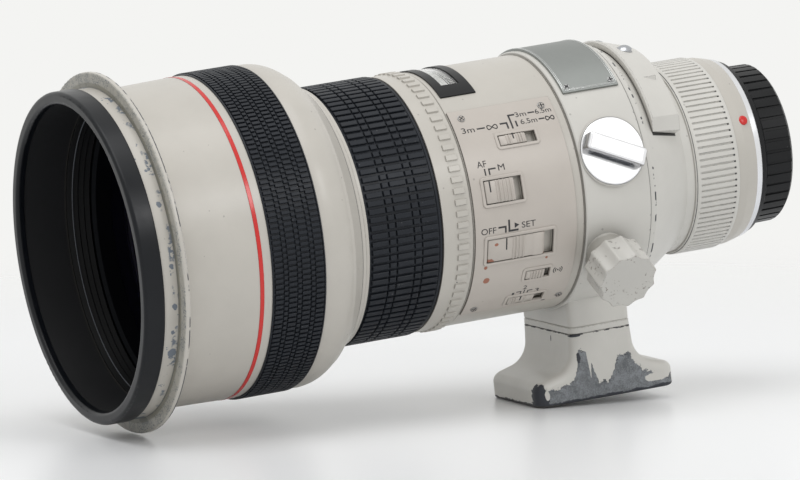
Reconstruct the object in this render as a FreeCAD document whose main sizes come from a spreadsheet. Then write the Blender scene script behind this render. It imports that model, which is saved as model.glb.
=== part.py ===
import FreeCAD, Part
import Sketcher
import math
import os

# Telephoto lens, millimetres. The optical axis is X: the front glass looks toward -X and the camera
# mount toward +X, +Z is up, and the tripod foot hangs toward -Z. The origin is on the axis, on the
# seating face of the camera bayonet. Angles around the barrel are counted from straight down (0),
# through the side with the switches (90), to straight up (180).

doc = FreeCAD.newDocument("TelephotoLens")
sheet = doc.addObject("Spreadsheet::Sheet", "Sizes")
Vector = FreeCAD.Vector
Rotation = FreeCAD.Rotation
Placement = FreeCAD.Placement
AXIS = Vector(1, 0, 0)
ACROSS = Vector(0, 1, 0)
UP = Vector(0, 0, 1)
CORNERS = [(-1, -1), (-1, 1), (1, -1), (1, 1)]


class Size:
    """A value together with the sheet expression that gives it."""

    def __init__(self, value, text):
        self.value = float(value)
        self.text = text

    def __add__(self, other):
        other = as_size(other)
        return Size(self.value + other.value, "(" + self.text + " + " + other.text + ")")

    def __sub__(self, other):
        other = as_size(other)
        return Size(self.value - other.value, "(" + self.text + " - " + other.text + ")")

    def __mul__(self, other):
        other = as_size(other)
        return Size(self.value * other.value, "(" + self.text + " * " + other.text + ")")

    def __truediv__(self, other):
        other = as_size(other)
        return Size(self.value / other.value, "(" + self.text + " / " + other.text + ")")

    def __neg__(self):
        return Size(-self.value, "(0 - " + self.text + ")")

    def __radd__(self, other):
        return as_size(other) + self

    def __rsub__(self, other):
        return as_size(other) - self

    def __rmul__(self, other):
        return as_size(other) * self


def as_size(number):
    if isinstance(number, Size):
        return number
    return Size(number, "%.6g" % number)


def size(alias, value):
    """Puts one driving dimension in the sheet and returns it."""
    cell = "A%d" % (len(named) + 1)
    sheet.set(cell, str(value))
    sheet.setAlias(cell, alias)
    named.append(alias)
    return Size(value, "Sizes." + alias)


def root(value):
    return Size(math.sqrt(value.value), "sqrt(" + value.text + ")")


def bind(thing, path, value):
    """Ties one property to the sheet."""
    thing.setExpression(path, as_size(value).text)


named = []
pieces = []

# Lengths along the axis, from the camera mount to the front rim.
mount_ring_length = size("mount_ring_length", 2.5)
cover_ring_length = size("cover_ring_length", 7.8)
ribbed_ring_length = size("ribbed_ring_length", 16.9)
rear_neck_length = size("rear_neck_length", 3.8)
rear_cone_length = size("rear_cone_length", 18.3)
rear_land_length = size("rear_land_length", 2.4)
collar_length = size("collar_length", 26.1)
panel_barrel_length = size("panel_barrel_length", 43.6)
playback_length = size("playback_length", 11.8)
focus_grip_length = size("focus_grip_length", 28.8)
focus_lip_length = size("focus_lip_length", 1.6)
shoulder_length = size("shoulder_length", 20.2)
front_grip_length = size("front_grip_length", 20.3)
front_barrel_length = size("front_barrel_length", 33.7)
flange_thickness = size("flange_thickness", 2.2)
flange_band_length = size("flange_band_length", 5.5)
rim_length = size("rim_length", 7.5)

# Front radii, as steps from the barrel behind the bumper flange.
nose_radius = size("nose_radius", 56.7)
front_wall = size("front_wall", 1.9)
rim_step = size("rim_step", 2.3)
flange_step = size("flange_step", 7.3)
flange_band_step = size("flange_band_step", 1.6)
nose_swell = size("nose_swell", 0.7)
front_grip_step = size("front_grip_step", 0.8)
front_bore_radius = nose_radius - front_wall
rim_radius = nose_radius + rim_step
flange_radius = nose_radius + flange_step
flange_band_radius = nose_radius + flange_band_step
stripe_radius = nose_radius + nose_swell
front_grip_radius = stripe_radius + front_grip_step

# Middle radii: the main barrel, the tube inside it and what turns on that tube.
barrel_radius = size("barrel_radius", 45.7)
barrel_wall = size("barrel_wall", 2.7)
tube_wall = size("tube_wall", 2.4)
bearing_step = size("bearing_step", 0.6)
collar_wall = size("collar_wall", 3.2)
playback_wall = size("playback_wall", 3.0)
focus_grip_wall = size("focus_grip_wall", 3.5)
shoulder_lip_wall = size("shoulder_lip_wall", 4.4)
tube_radius = barrel_radius - barrel_wall
tube_bore_radius = tube_radius - tube_wall
bearing_radius = tube_radius + bearing_step
collar_radius = bearing_radius + collar_wall
playback_radius = tube_radius + playback_wall
focus_grip_radius = tube_radius + focus_grip_wall
shoulder_end_radius = tube_radius + shoulder_lip_wall

# Rear radii, as steps from the bayonet tube.
bayonet_tube_radius = size("bayonet_tube_radius", 24.7)
bayonet_wall = size("bayonet_wall", 2.2)
seat_width = size("seat_width", 7.8)
cover_step = size("cover_step", 0.7)
ribbed_step = size("ribbed_step", 1.5)
neck_step = size("neck_step", 1.2)
ribbed_wall = size("ribbed_wall", 2.4)
neck_wall = size("neck_wall", 2.7)
mount_bore_radius = bayonet_tube_radius - bayonet_wall
mount_radius = bayonet_tube_radius + seat_width
cover_rear_radius = mount_radius + cover_step
ribbed_radius = cover_rear_radius + ribbed_step
neck_radius = ribbed_radius - neck_step
neck_seat = ribbed_radius - ribbed_wall
neck_bore_radius = neck_seat - neck_wall

# Walls that several pieces share.
wall = size("wall", 2.0)
rubber_wall = size("rubber_wall", 1.4)

# Clearances between pieces that move past each other.
running_gap = size("running_gap", 0.06)
side_gap = size("side_gap", 0.3)
slot_gap = size("slot_gap", 0.3)

# How far a cutting shape stands past what it cuts.
margin = size("cut_margin", 1.0)

# Stations along the axis.
mount_front = -mount_ring_length
cover_front = mount_front - cover_ring_length
ribbed_front = cover_front - ribbed_ring_length
cone_rear = ribbed_front - rear_neck_length
cone_front = cone_rear - rear_cone_length
collar_rear = cone_front - rear_land_length
collar_front = collar_rear - collar_length
panel_front = collar_front - panel_barrel_length
playback_front = panel_front - playback_length
focus_front = playback_front - focus_grip_length
shoulder_rear = focus_front - focus_lip_length
shoulder_front = shoulder_rear - shoulder_length
grip_front = shoulder_front - front_grip_length
barrel_front = grip_front - front_barrel_length
flange_front = barrel_front - flange_thickness
band_front = flange_front - flange_band_length
rim_front = band_front - rim_length
collar_middle = (collar_front + collar_rear) / 2


def origin_plane(body, role):
    for item in body.Origin.OriginFeatures:
        if item.Role == role:
            return item


def sketch_on(body, role, name):
    sketch = body.newObject("Sketcher::SketchObject", name)
    sketch.AttachmentSupport = [(origin_plane(body, role), "")]
    sketch.MapMode = "FlatFace"
    return sketch


def tie(sketch, kind, value, *where):
    """Adds a dimension to a sketch and ties it to the sheet."""
    value = as_size(value)
    number = sketch.addConstraint(Sketcher.Constraint(kind, *where, value.value))
    sketch.setExpression("Constraints[%d]" % number, value.text)


def arc_radius(first, second, rise):
    """Radius of an arc between two corners that rises so far over its chord."""
    across = as_size(second[0]) - as_size(first[0])
    along = as_size(second[1]) - as_size(first[1])
    return ((across * across + along * along) / 4 + rise * rise) / (rise * 2)


def arc_side(start, end, rise, radius):
    """The arc from start to end that rises to the left of the way it runs."""
    left = Vector(start.y - end.y, end.x - start.x, 0).normalize()
    centre = (start + end) / 2 + left * (rise - radius)
    first = math.atan2(end.y - centre.y, end.x - centre.x)
    last = math.atan2(start.y - centre.y, start.x - centre.x)
    circle = Part.Circle(centre, Vector(0, 0, 1), radius)
    return Part.ArcOfCircle(circle, first, last if last > first else last + 2 * math.pi)


def outline(sketch, points):
    """Closes an outline through the points and ties it to the sheet.

    The side that starts at a point with a third value is an arc that rises so far over its chord.
    """
    count = len(points)
    flat = [Vector(as_size(point[0]).value, as_size(point[1]).value, 0) for point in points]
    ends = []
    for i, point in enumerate(points):
        after = (i + 1) % count
        if len(point) == 3:
            radius = arc_radius(point, points[after], point[2])
            sketch.addGeometry(arc_side(flat[i], flat[after], point[2].value, radius.value), False)
            ends.append((2, 1))
        else:
            sketch.addGeometry(Part.LineSegment(flat[i], flat[after]), False)
            ends.append((1, 2))
    for i in range(count):
        after = (i + 1) % count
        sketch.addConstraint(Sketcher.Constraint("Coincident", i, ends[i][1], after, ends[after][0]))
    for i, point in enumerate(points):
        tie(sketch, "DistanceX", point[0], -1, 1, i, ends[i][0])
        tie(sketch, "DistanceY", point[1], -1, 1, i, ends[i][0])
        if len(point) == 3:
            tie(sketch, "Radius", arc_radius(point, points[(i + 1) % count], point[2]), i)


def turned(name, points, sweep=None, middle_angle=None):
    """Revolves an outline of (station, radius) corners about the axis."""
    body = doc.addObject("PartDesign::Body", name)
    sketch = sketch_on(body, "XZ_Plane", name + "_profile")
    outline(sketch, points)
    turn = body.newObject("PartDesign::Revolution", name + "_turn")
    turn.Profile = sketch
    turn.ReferenceAxis = (sketch, ["H_Axis"])
    turn.Angle = 360
    if sweep is not None:
        turn.Midplane = True
        bind(turn, "Angle", sweep)
        lean(body, middle_angle)
    body.Tip = turn
    return body


def lean(thing, angle):
    """Turns a piece that was made at the top round the axis to its own angle."""
    thing.Placement = Placement(Vector(0, 0, 0), Rotation(AXIS, 180 - as_size(angle).value))
    bind(thing, "Placement.Rotation.Angle", 180 - as_size(angle))


def softening(body, wanted, radius, kind="Fillet"):
    """Rounds or bevels the edges that the test picks."""
    doc.recompute([body])
    base = body.Tip
    names = ["Edge%d" % number for number, edge in enumerate(base.Shape.Edges, 1) if wanted(edge)]
    soft = body.newObject("PartDesign::" + kind, body.Name + "_soft%d" % len(body.Group))
    soft.Base = (base, names)
    bind(soft, "Radius" if kind == "Fillet" else "Size", radius)
    body.Tip = soft
    return body


def soften(body, spots, radius, kind="Fillet"):
    """Rounds or bevels the circular edges at the given stations and radii."""
    places = [(as_size(station).value, as_size(ring).value) for station, ring in spots]

    def wanted(edge):
        if not isinstance(edge.Curve, Part.Circle):
            return False
        here = edge.Curve.Center.x
        return any(abs(here - x) < 0.01 and abs(edge.Curve.Radius - r) < 0.01 for x, r in places)

    return softening(body, wanted, radius, kind)


def soften_lines(body, direction, spots, radius):
    """Rounds the straight edges that run along a direction through the given places."""
    places = [Vector(*[as_size(value).value for value in place]) for place in spots]

    def wanted(edge):
        if not isinstance(edge.Curve, Part.Line):
            return False
        if abs(abs(edge.Curve.Direction.dot(direction)) - 1) > 1e-6:
            return False
        gaps = [edge.CenterOfMass - place for place in places]
        return any((gap - direction * gap.dot(direction)).Length < 0.02 for gap in gaps)

    return softening(body, wanted, radius)


def soften_level(body, level, radius, kind="Fillet"):
    """Rounds or bevels the edges that lie at one height."""
    height = as_size(level).value

    def wanted(edge):
        bounds = edge.BoundBox
        return abs(bounds.ZMin - height) < 0.01 and abs(bounds.ZMax - height) < 0.01

    return softening(body, wanted, radius, kind)


def ring_pattern(body, feature, count):
    """Repeats a feature evenly round the axis."""
    doc.recompute([body])
    pattern = body.newObject("PartDesign::PolarPattern", feature.Name + "_ring")
    pattern.Originals = [feature]
    pattern.Axis = (origin_plane(body, "X_Axis"), [""])
    pattern.Angle = 360
    bind(pattern, "Occurrences", count)
    body.Tip = pattern
    return body


def box(name, corner, sizes):
    """A box from its least corner."""
    thing = doc.addObject("Part::Box", name)
    for path, value in zip(("Length", "Width", "Height"), sizes):
        bind(thing, path, value)
    place(thing, corner)
    return thing


def place(thing, corner):
    for path, value in zip("xyz", corner):
        bind(thing, "Placement.Base." + path, value)


def rod(name, start, radius, length, direction="z"):
    """A cylinder from the centre of its first end."""
    thing = doc.addObject("Part::Cylinder", name)
    bind(thing, "Radius", radius)
    bind(thing, "Height", length)
    if direction == "x":
        thing.Placement = Placement(Vector(0, 0, 0), Rotation(Vector(0, 1, 0), 90))
    if direction == "y":
        thing.Placement = Placement(Vector(0, 0, 0), Rotation(Vector(1, 0, 0), -90))
    place(thing, start)
    return thing


def post(name, middle, half_length, half_width, low, high, corner):
    """An upright block with rounded corners."""
    body = doc.addObject("PartDesign::Body", name)
    sketch = sketch_on(body, "XY_Plane", name + "_profile")
    outline(sketch, [
        (middle - half_length, -half_width),
        (middle + half_length, -half_width),
        (middle + half_length, half_width),
        (middle - half_length, half_width),
    ])
    sketch.AttachmentOffset = Placement(Vector(0, 0, -1), Rotation())
    bind(sketch, "AttachmentOffset.Base.z", low)
    pad = body.newObject("PartDesign::Pad", name + "_pad")
    pad.Profile = sketch
    bind(pad, "Length", high - low)
    body.Tip = pad
    corners = [(middle + half_length * side, half_width * across, 0) for side, across in CORNERS]
    return soften_lines(body, UP, corners, corner)


def upright(name, points):
    """Revolves an outline of (radius, height) corners about a line that stands out from the axis."""
    body = doc.addObject("PartDesign::Body", name)
    sketch = sketch_on(body, "XZ_Plane", name + "_profile")
    outline(sketch, points)
    turn = body.newObject("PartDesign::Revolution", name + "_turn")
    turn.Profile = sketch
    turn.ReferenceAxis = (sketch, ["V_Axis"])
    turn.Angle = 360
    body.Tip = turn
    return body


def swing(name, thing, axis, angle, shift):
    """Turns a piece about an axis through the origin, then shifts it."""
    holder = doc.addObject("Part::Compound", name)
    holder.Links = [thing]
    holder.Placement = Placement(Vector(0, 0, 0), Rotation(axis, as_size(angle).value))
    bind(holder, "Placement.Rotation.Angle", angle)
    place(holder, shift)
    return holder


def group(name, things, angle=None):
    """Separate solids kept together, turned to an angle round the axis if one is given."""
    bundle = doc.addObject("Part::Compound", name)
    bundle.Links = things
    if angle is not None:
        lean(bundle, angle)
    return bundle


def cut(name, base, tools):
    thing = doc.addObject("Part::Cut", name)
    thing.Base = base
    thing.Tool = tools[0] if len(tools) == 1 else group(name + "_tools", tools)
    return thing


def fuse(name, things):
    thing = doc.addObject("Part::MultiFuse", name)
    thing.Shapes = things
    thing.Refine = True
    return thing


def common(name, things):
    thing = doc.addObject("Part::MultiCommon", name)
    thing.Shapes = things
    return thing


def node(name, thing):
    """Names a finished piece of the lens."""
    thing.Label = name
    pieces.append(thing)
    return thing


def radial_rod(name, station, angle, radius, inner, outer):
    """A cylinder that stands out from the axis."""
    return group(name, [rod(name + "_rod", (station, 0, inner), radius, outer - inner)], angle)


def radial_box(name, station, length, width, angle, inner, outer):
    """A box that stands out from the axis, centred on its width."""
    corner = (station, -width / 2, inner)
    return group(name, [box(name + "_box", corner, (length, width, outer - inner))], angle)


# Front: rubber rim, bumper flange, barrel with its stripe and grip.
rim_lip = size("rim_lip", 3.0)
rim_overhang = size("rim_overhang", 0.3)
seat_depth = size("seat_depth", 1.0)
front_seat = nose_radius - seat_depth
rim = turned("front_rubber_ring_body", [
    (rim_front, front_bore_radius - rim_overhang),
    (rim_front, rim_radius),
    (band_front, rim_radius),
    (band_front, front_seat),
    (rim_front + rim_lip, front_seat),
    (rim_front + rim_lip, front_bore_radius - rim_overhang),
])
rim_round = size("rim_round", 1.3)
soften(rim, [(rim_front, front_bore_radius - rim_overhang), (rim_front, rim_radius)], rim_round)
node("front_rubber_ring", rim)

band_swell = size("flange_band_swell", 0.4)
flange = turned("hood_flange_ring_body", [
    (band_front, front_seat),
    (band_front, flange_band_radius),
    (flange_front, flange_band_radius + band_swell),
    (flange_front, flange_radius),
    (barrel_front, flange_radius),
    (barrel_front, front_seat),
])
flange_round = size("flange_round", 0.6)
soften(flange, [(flange_front, flange_radius), (barrel_front, flange_radius)], flange_round)
node("hood_flange_ring", flange)

trap_depth = size("trap_depth", 19.0)
trap_length = size("trap_length", 9.0)
trap_wall = size("trap_wall", 1.0)
retainer_length = size("retainer_length", 7.0)
retainer_step = size("retainer_step", 3.4)
retainer_bevel = size("retainer_bevel", 1.2)
retainer_radius = front_bore_radius - retainer_step
glass_edge = size("glass_edge_length", 5.0)
trap_front = rim_front + trap_depth
retainer_front = trap_front + trap_length
front_glass_start = retainer_front + retainer_length
front_glass_seat = front_glass_start + glass_edge
stripe_width = size("stripe_width", 1.5)
stripe_gap = size("stripe_gap", 3.2)
stripe_sunk = size("stripe_sunk", 0.5)
stripe_proud = size("stripe_proud", 0.1)
stripe_rear = grip_front - stripe_gap
stripe_front = stripe_rear - stripe_width
grip_seat = front_grip_radius - rubber_wall
stripe_seat = stripe_radius - stripe_sunk
front_shell = turned("front_barrel_body", [
    (rim_front + rim_lip, front_bore_radius),
    (rim_front + rim_lip, front_seat),
    (barrel_front, front_seat),
    (barrel_front, nose_radius),
    (stripe_front, stripe_radius),
    (stripe_front, stripe_seat),
    (stripe_rear, stripe_seat),
    (stripe_rear, stripe_radius),
    (grip_front, stripe_radius),
    (grip_front, grip_seat),
    (shoulder_front, grip_seat),
    (shoulder_front, front_bore_radius - wall),
    (front_glass_seat, front_bore_radius - wall),
    (front_glass_seat, front_bore_radius),
])
node("front_barrel", front_shell)

node("red_stripe_ring", turned("red_stripe_body", [
    (stripe_front, stripe_seat),
    (stripe_front, stripe_radius + stripe_proud),
    (stripe_rear, stripe_radius + stripe_proud),
    (stripe_rear, stripe_seat),
]))

grip_rows = size("front_grip_rows", 4)
grip_groove = size("front_grip_groove", 0.6)
grip_depth = size("front_grip_depth", 0.5)
grip_points = [(grip_front, grip_seat)]
grip_pitch = front_grip_length / grip_rows
for row in range(int(grip_rows.value)):
    start = grip_front + grip_pitch * row
    grip_points.append((start, front_grip_radius - grip_depth))
    grip_points.append((start + grip_groove, front_grip_radius))
    grip_points.append((start + grip_pitch - grip_groove, front_grip_radius))
grip_points.append((shoulder_front, front_grip_radius - grip_depth))
grip_points.append((shoulder_front, grip_seat))
node("front_grip_rubber", turned("front_grip_body", grip_points))

# Shoulder behind the front grip: a bulge, a crease and a cone down to the lip over the focus ring.
bulge_length = size("shoulder_bulge_length", 12.0)
bulge_rise = size("shoulder_bulge_rise", 1.5)
bulge_drop = size("shoulder_bulge_drop", 2.9)
crease_drop = size("shoulder_crease_drop", 0.9)
crease_length = size("shoulder_crease_length", 1.4)
lip_length = size("shoulder_lip_length", 1.2)
lip_step = size("shoulder_lip_step", 0.5)
shoulder_web = size("shoulder_web", 3.0)
crease_radius = stripe_radius - bulge_drop - crease_drop
bulge_end = shoulder_front + bulge_length
shoulder = turned("shoulder_body", [
    (shoulder_front, front_bore_radius - wall),
    (shoulder_front, stripe_radius, bulge_rise),
    (bulge_end, stripe_radius - bulge_drop),
    (bulge_end + crease_length, crease_radius),
    (shoulder_rear - lip_length, shoulder_end_radius + lip_step),
    (shoulder_rear, shoulder_end_radius),
    (shoulder_rear, tube_radius),
    (shoulder_rear - shoulder_web, tube_radius),
    (shoulder_rear - shoulder_web, shoulder_end_radius - wall),
    (bulge_end, crease_radius - shoulder_web),
])
node("shoulder_casing", shoulder)

# Inside the front: light trap, retaining ring and the two front glasses.
trap_points = [(trap_front, front_bore_radius)]
trap_steps = 4
trap_tooth = size("trap_tooth", 0.5)
trap_slope_share = 0.8
for step in range(trap_steps):
    start = trap_front + trap_length * step / trap_steps
    trap_points.append((start, front_bore_radius - trap_wall))
    tooth_end = start + trap_length / trap_steps * trap_slope_share
    trap_points.append((tooth_end, front_bore_radius - trap_wall - trap_tooth))
trap_points.append((retainer_front, front_bore_radius - trap_wall))
trap_points.append((retainer_front, front_bore_radius))
node("front_light_trap", turned("front_light_trap_body", trap_points))
node("front_retaining_ring", turned("front_retaining_body", [
    (retainer_front, front_bore_radius),
    (retainer_front, retainer_radius + retainer_bevel),
    (retainer_front + retainer_bevel, retainer_radius),
    (retainer_front + retainer_length, retainer_radius),
    (retainer_front + retainer_length, front_bore_radius),
]))


def glass(name, edge_front, edge_length, edge_radius, clear_radius, bulge):
    """A biconvex glass: a flat edge that is clamped, and inside it the same bulge on both sides."""
    edge_rear = edge_front + edge_length
    front = edge_front - bulge
    rear = edge_rear + bulge
    curve = (clear_radius * clear_radius + bulge * bulge) / (bulge * 2)
    half = math.asin(clear_radius.value / curve.value)
    up = Vector(0, 0, 1)
    body = doc.addObject("PartDesign::Body", name + "_body")
    sketch = sketch_on(body, "XZ_Plane", name + "_profile")
    front_ring = Part.Circle(Vector(front.value + curve.value, 0, 0), up, curve.value)
    rear_ring = Part.Circle(Vector(rear.value - curve.value, 0, 0), up, curve.value)
    corners = [
        Vector(edge_front.value, clear_radius.value, 0),
        Vector(edge_front.value, edge_radius.value, 0),
        Vector(edge_rear.value, edge_radius.value, 0),
        Vector(edge_rear.value, clear_radius.value, 0),
    ]
    sketch.addGeometry(Part.ArcOfCircle(front_ring, math.pi - half, math.pi), False)
    for i in range(3):
        sketch.addGeometry(Part.LineSegment(corners[i], corners[i + 1]), False)
    sketch.addGeometry(Part.ArcOfCircle(rear_ring, 0, half), False)
    sketch.addGeometry(Part.LineSegment(Vector(rear.value, 0, 0), Vector(front.value, 0, 0)), False)
    for first, first_end, second, second_end in (
        (0, 1, 1, 1), (1, 2, 2, 1), (2, 2, 3, 1), (3, 2, 4, 2), (4, 1, 5, 1), (5, 2, 0, 2),
    ):
        sketch.addConstraint(Sketcher.Constraint("Coincident", first, first_end, second, second_end))
    for line, end, across, along in (
        (0, 1, edge_front, clear_radius), (1, 2, edge_front, edge_radius), (2, 2, edge_rear, edge_radius),
        (3, 2, edge_rear, clear_radius), (4, 1, rear, None), (0, 2, front, None),
    ):
        for kind, value in (("DistanceX", across), ("DistanceY", along)):
            if value is None:
                sketch.addConstraint(Sketcher.Constraint("PointOnObject", line, end, -1))
                sketch.addConstraint(Sketcher.Constraint("PointOnObject", line, 3, -1))
                continue
            tie(sketch, kind, value, -1, 1, line, end)
    turn = body.newObject("PartDesign::Revolution", name + "_turn")
    turn.Profile = sketch
    turn.ReferenceAxis = (sketch, ["H_Axis"])
    turn.Angle = 360
    body.Tip = turn
    return node(name, body)


front_bulge = size("front_glass_bulge", 4.4)
glass("front_glass", front_glass_start, glass_edge, front_bore_radius, retainer_radius, front_bulge)

second_bulge = size("second_glass_bulge", 3.4)
second_gap = size("second_glass_gap", 1.2)
second_edge = size("second_glass_edge_length", 4.0)
second_start = front_glass_seat + front_bulge + second_bulge + second_gap
glass("second_glass", second_start, second_edge, front_bore_radius - wall, retainer_radius - wall, second_bulge)

# The main tube carries the focus ring and holds the focusing group.
tube_front = shoulder_rear - shoulder_web
tube_rear = collar_front
window_front_gap = size("window_front_gap", 1.9)
window_length = size("window_length", 13.7)
window_span_angle = size("window_span_angle", 66.0)
window_rim = size("window_rim", 3.4)
window_rim_angle = size("window_rim_angle", 8.5)
window_front = panel_front + window_front_gap
window_rear = window_front + window_length
sight_front = window_front + window_rim
sight_rear = window_rear - window_rim
sight_sweep = window_span_angle - window_rim_angle * 2
top = as_size(180)

tube = turned("main_tube_body", [
    (tube_front, tube_bore_radius),
    (tube_front, tube_radius),
    (tube_rear, tube_radius),
    (tube_rear, tube_bore_radius),
])
sight = turned("main_tube_sight", [
    (sight_front, tube_bore_radius - margin),
    (sight_front, tube_radius + margin),
    (sight_rear, tube_radius + margin),
    (sight_rear, tube_bore_radius - margin),
], sight_sweep, top)
node("main_tube", cut("main_tube_cut", tube, [sight]))

# Switches: station of the slot's front end, slot length, slot width, angle, travel of the thumb piece.
panel_start_angle = size("panel_start_angle", 32.0)
panel_end_angle = size("panel_end_angle", 137.0)
panel_depth = size("panel_depth", 0.6)
panel_proud = size("panel_proud", 0.7)
panel_front_gap = size("panel_front_gap", 0.6)
panel_rear_gap = size("panel_rear_gap", 3.4)
slot_floor_wall = size("slot_floor_wall", 0.9)
slot_floor = tube_radius + slot_floor_wall
thumb_proud = size("thumb_proud", 0.5)
panel_seat = barrel_radius - panel_depth
panel_top = barrel_radius + panel_proud
plate_front = panel_front + panel_front_gap
plate_rear = collar_front - panel_rear_gap
panel_sweep = panel_end_angle - panel_start_angle
panel_middle = (panel_start_angle + panel_end_angle) / 2

switches = []
for label, offset, length, width, angle, travel in (
    ("limiter", 15.3, 14.5, 4.2, 118.6, 3.6),
    ("focus_mode", 5.4, 14.7, 8.6, 97.1, 2.6),
    ("preset", 4.9, 26.1, 9.2, 70.8, 3.4),
    ("sound", 21.2, 9.7, 4.2, 54.7, 1.8),
    ("speed", 17.1, 14.3, 4.4, 38.6, 3.4),
):
    switches.append((
        label,
        panel_front + size(label + "_slot_offset", offset),
        size(label + "_slot_length", length),
        size(label + "_slot_width", width),
        size(label + "_slot_angle", angle),
        size(label + "_travel", travel),
    ))

shell = turned("main_barrel_body", [
    (panel_front, tube_radius),
    (panel_front, barrel_radius),
    (collar_front, barrel_radius),
    (collar_front, tube_radius),
])
edge_bevel = size("edge_bevel", 0.4)
soften(shell, [(panel_front, barrel_radius), (collar_front, barrel_radius)], edge_bevel, "Chamfer")
panel_bed = turned("main_barrel_panel_bed", [
    (plate_front, panel_seat),
    (plate_front, panel_top + margin),
    (plate_rear, panel_top + margin),
    (plate_rear, panel_seat),
], panel_sweep, panel_middle)
window_hole = turned("main_barrel_window_hole", [
    (window_front, tube_radius - margin),
    (window_front, barrel_radius + margin),
    (window_rear, barrel_radius + margin),
    (window_rear, tube_radius - margin),
], window_span_angle, top)
shell_cuts = [panel_bed, window_hole]
plate_cuts = []
for label, start, length, width, angle, travel in switches:
    shell_cuts.append(radial_box(label + "_pocket", start, length, width, angle, slot_floor, panel_top))
    plate_cuts.append(radial_box(label + "_slot", start, length, width, angle, slot_floor, panel_top + margin))
node("main_barrel", cut("main_barrel_cut", shell, shell_cuts))

plate = turned("switch_panel_body", [
    (plate_front, panel_seat),
    (plate_front, panel_top),
    (plate_rear, panel_top),
    (plate_rear, panel_seat),
], panel_sweep, panel_middle)
slot_rim_width = size("slot_rim_width", 1.1)
slot_rim_height = size("slot_rim_height", 0.35)
slot_rim_corner = size("slot_rim_corner", 1.4)
slot_rim_round = size("slot_rim_round", 0.3)
slot_rims = []
rim_top = panel_top + slot_rim_height
for label, start, length, width, angle, travel in switches:
    block = post(label + "_rim", start + length / 2, length / 2 + slot_rim_width, width / 2 + slot_rim_width,
                 panel_seat + slot_rim_height, rim_top, slot_rim_corner)
    soften_level(block, rim_top, slot_rim_round)
    slot_rims.append(group(label + "_rim_set", [block], angle))
plate_solid = fuse("switch_panel_solid", [plate] + slot_rims)
node("switch_panel", cut("switch_panel_cut", plate_solid, plate_cuts))

# Thumb pieces: a bed in the slot and a raised grip with ridges across it.
ridge_height = size("ridge_height", 0.5)
ridge_width = size("ridge_width", 0.7)
ridges = 4
first_ridge_share = 0.32
ridge_step_share = 0.16
for label, start, length, width, angle, travel in switches:
    thumb_length = length - travel - slot_gap * 2
    thumb_width = width - slot_gap * 2
    first = start + slot_gap
    bed = box(label + "_bed", (first, -thumb_width / 2, slot_floor + side_gap),
              (thumb_length, thumb_width, panel_top + thumb_proud - slot_floor - side_gap))
    solids = [bed]
    for index in range(ridges):
        along = first + thumb_length * (first_ridge_share + ridge_step_share * index)
        solids.append(box(label + "_ridge%d" % index, (along, -thumb_width / 2, panel_top + thumb_proud),
                          (ridge_width, thumb_width, ridge_height)))
    thumb = fuse(label + "_slider_shape", solids)
    node(label + "_slider", group(label + "_slider_set", [thumb], angle))

# Panel screws sit in the two upper corners and the two lower ones.
screw_head_radius = size("screw_head_radius", 1.3)
screw_inset = size("screw_inset", 4.2)
screw_inset_angle = size("screw_inset_angle", 4.5)
screw_corner_inset = size("screw_corner_inset", 2.1)
screw_proud = size("screw_proud", 0.35)
cross_arm_share = 0.28
cross_reach_share = 1.2
cross_floor_share = 0.6


def screw(name, station, angle, seat, radius, proud):
    """A countersunk head with a cross recess, standing out from the axis."""
    head = rod(name + "_head", (station, 0, seat), radius, proud)
    arm = radius * cross_arm_share
    reach = radius * cross_reach_share
    floor = seat + proud * cross_floor_share
    bars = [
        box(name + "_bar1", (station - reach / 2, -arm / 2, floor), (reach, arm, proud)),
        box(name + "_bar2", (station - arm / 2, -reach / 2, floor), (arm, reach, proud)),
    ]
    return group(name, [cut(name + "_cut", head, [fuse(name + "_cross", bars)])], angle)


panel_screws = []
for index, (station, angle) in enumerate((
    (plate_front + screw_inset, panel_end_angle - screw_inset_angle),
    (plate_rear - screw_inset, panel_end_angle - screw_inset_angle),
    (plate_front + screw_inset, panel_start_angle + screw_inset_angle),
    (plate_rear - screw_corner_inset, panel_start_angle + screw_inset_angle),
)):
    panel_screws.append(screw("panel_screw%d" % index, station, angle, panel_top,
                              screw_head_radius, screw_proud))
node("panel_screws", group("panel_screws_set", panel_screws))

# Distance window: a dark frame flush in the barrel with the clear window set into it.
frame_proud = size("frame_proud", 0.5)
pane_thickness = size("pane_thickness", 1.0)
frame = turned("window_frame_body", [
    (window_front, tube_radius),
    (window_front, barrel_radius + frame_proud),
    (window_rear, barrel_radius + frame_proud),
    (window_rear, tube_radius),
], window_span_angle, top)
frame_hole = turned("window_frame_hole", [
    (sight_front, tube_radius - margin),
    (sight_front, barrel_radius + frame_proud + margin),
    (sight_rear, barrel_radius + frame_proud + margin),
    (sight_rear, tube_radius - margin),
], sight_sweep, top)
node("window_frame", cut("window_frame_cut", frame, [frame_hole]))
node("window_glass", turned("window_glass_body", [
    (sight_front, tube_radius),
    (sight_front, tube_radius + pane_thickness),
    (sight_rear, tube_radius + pane_thickness),
    (sight_rear, tube_radius),
], sight_sweep, top))

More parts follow.
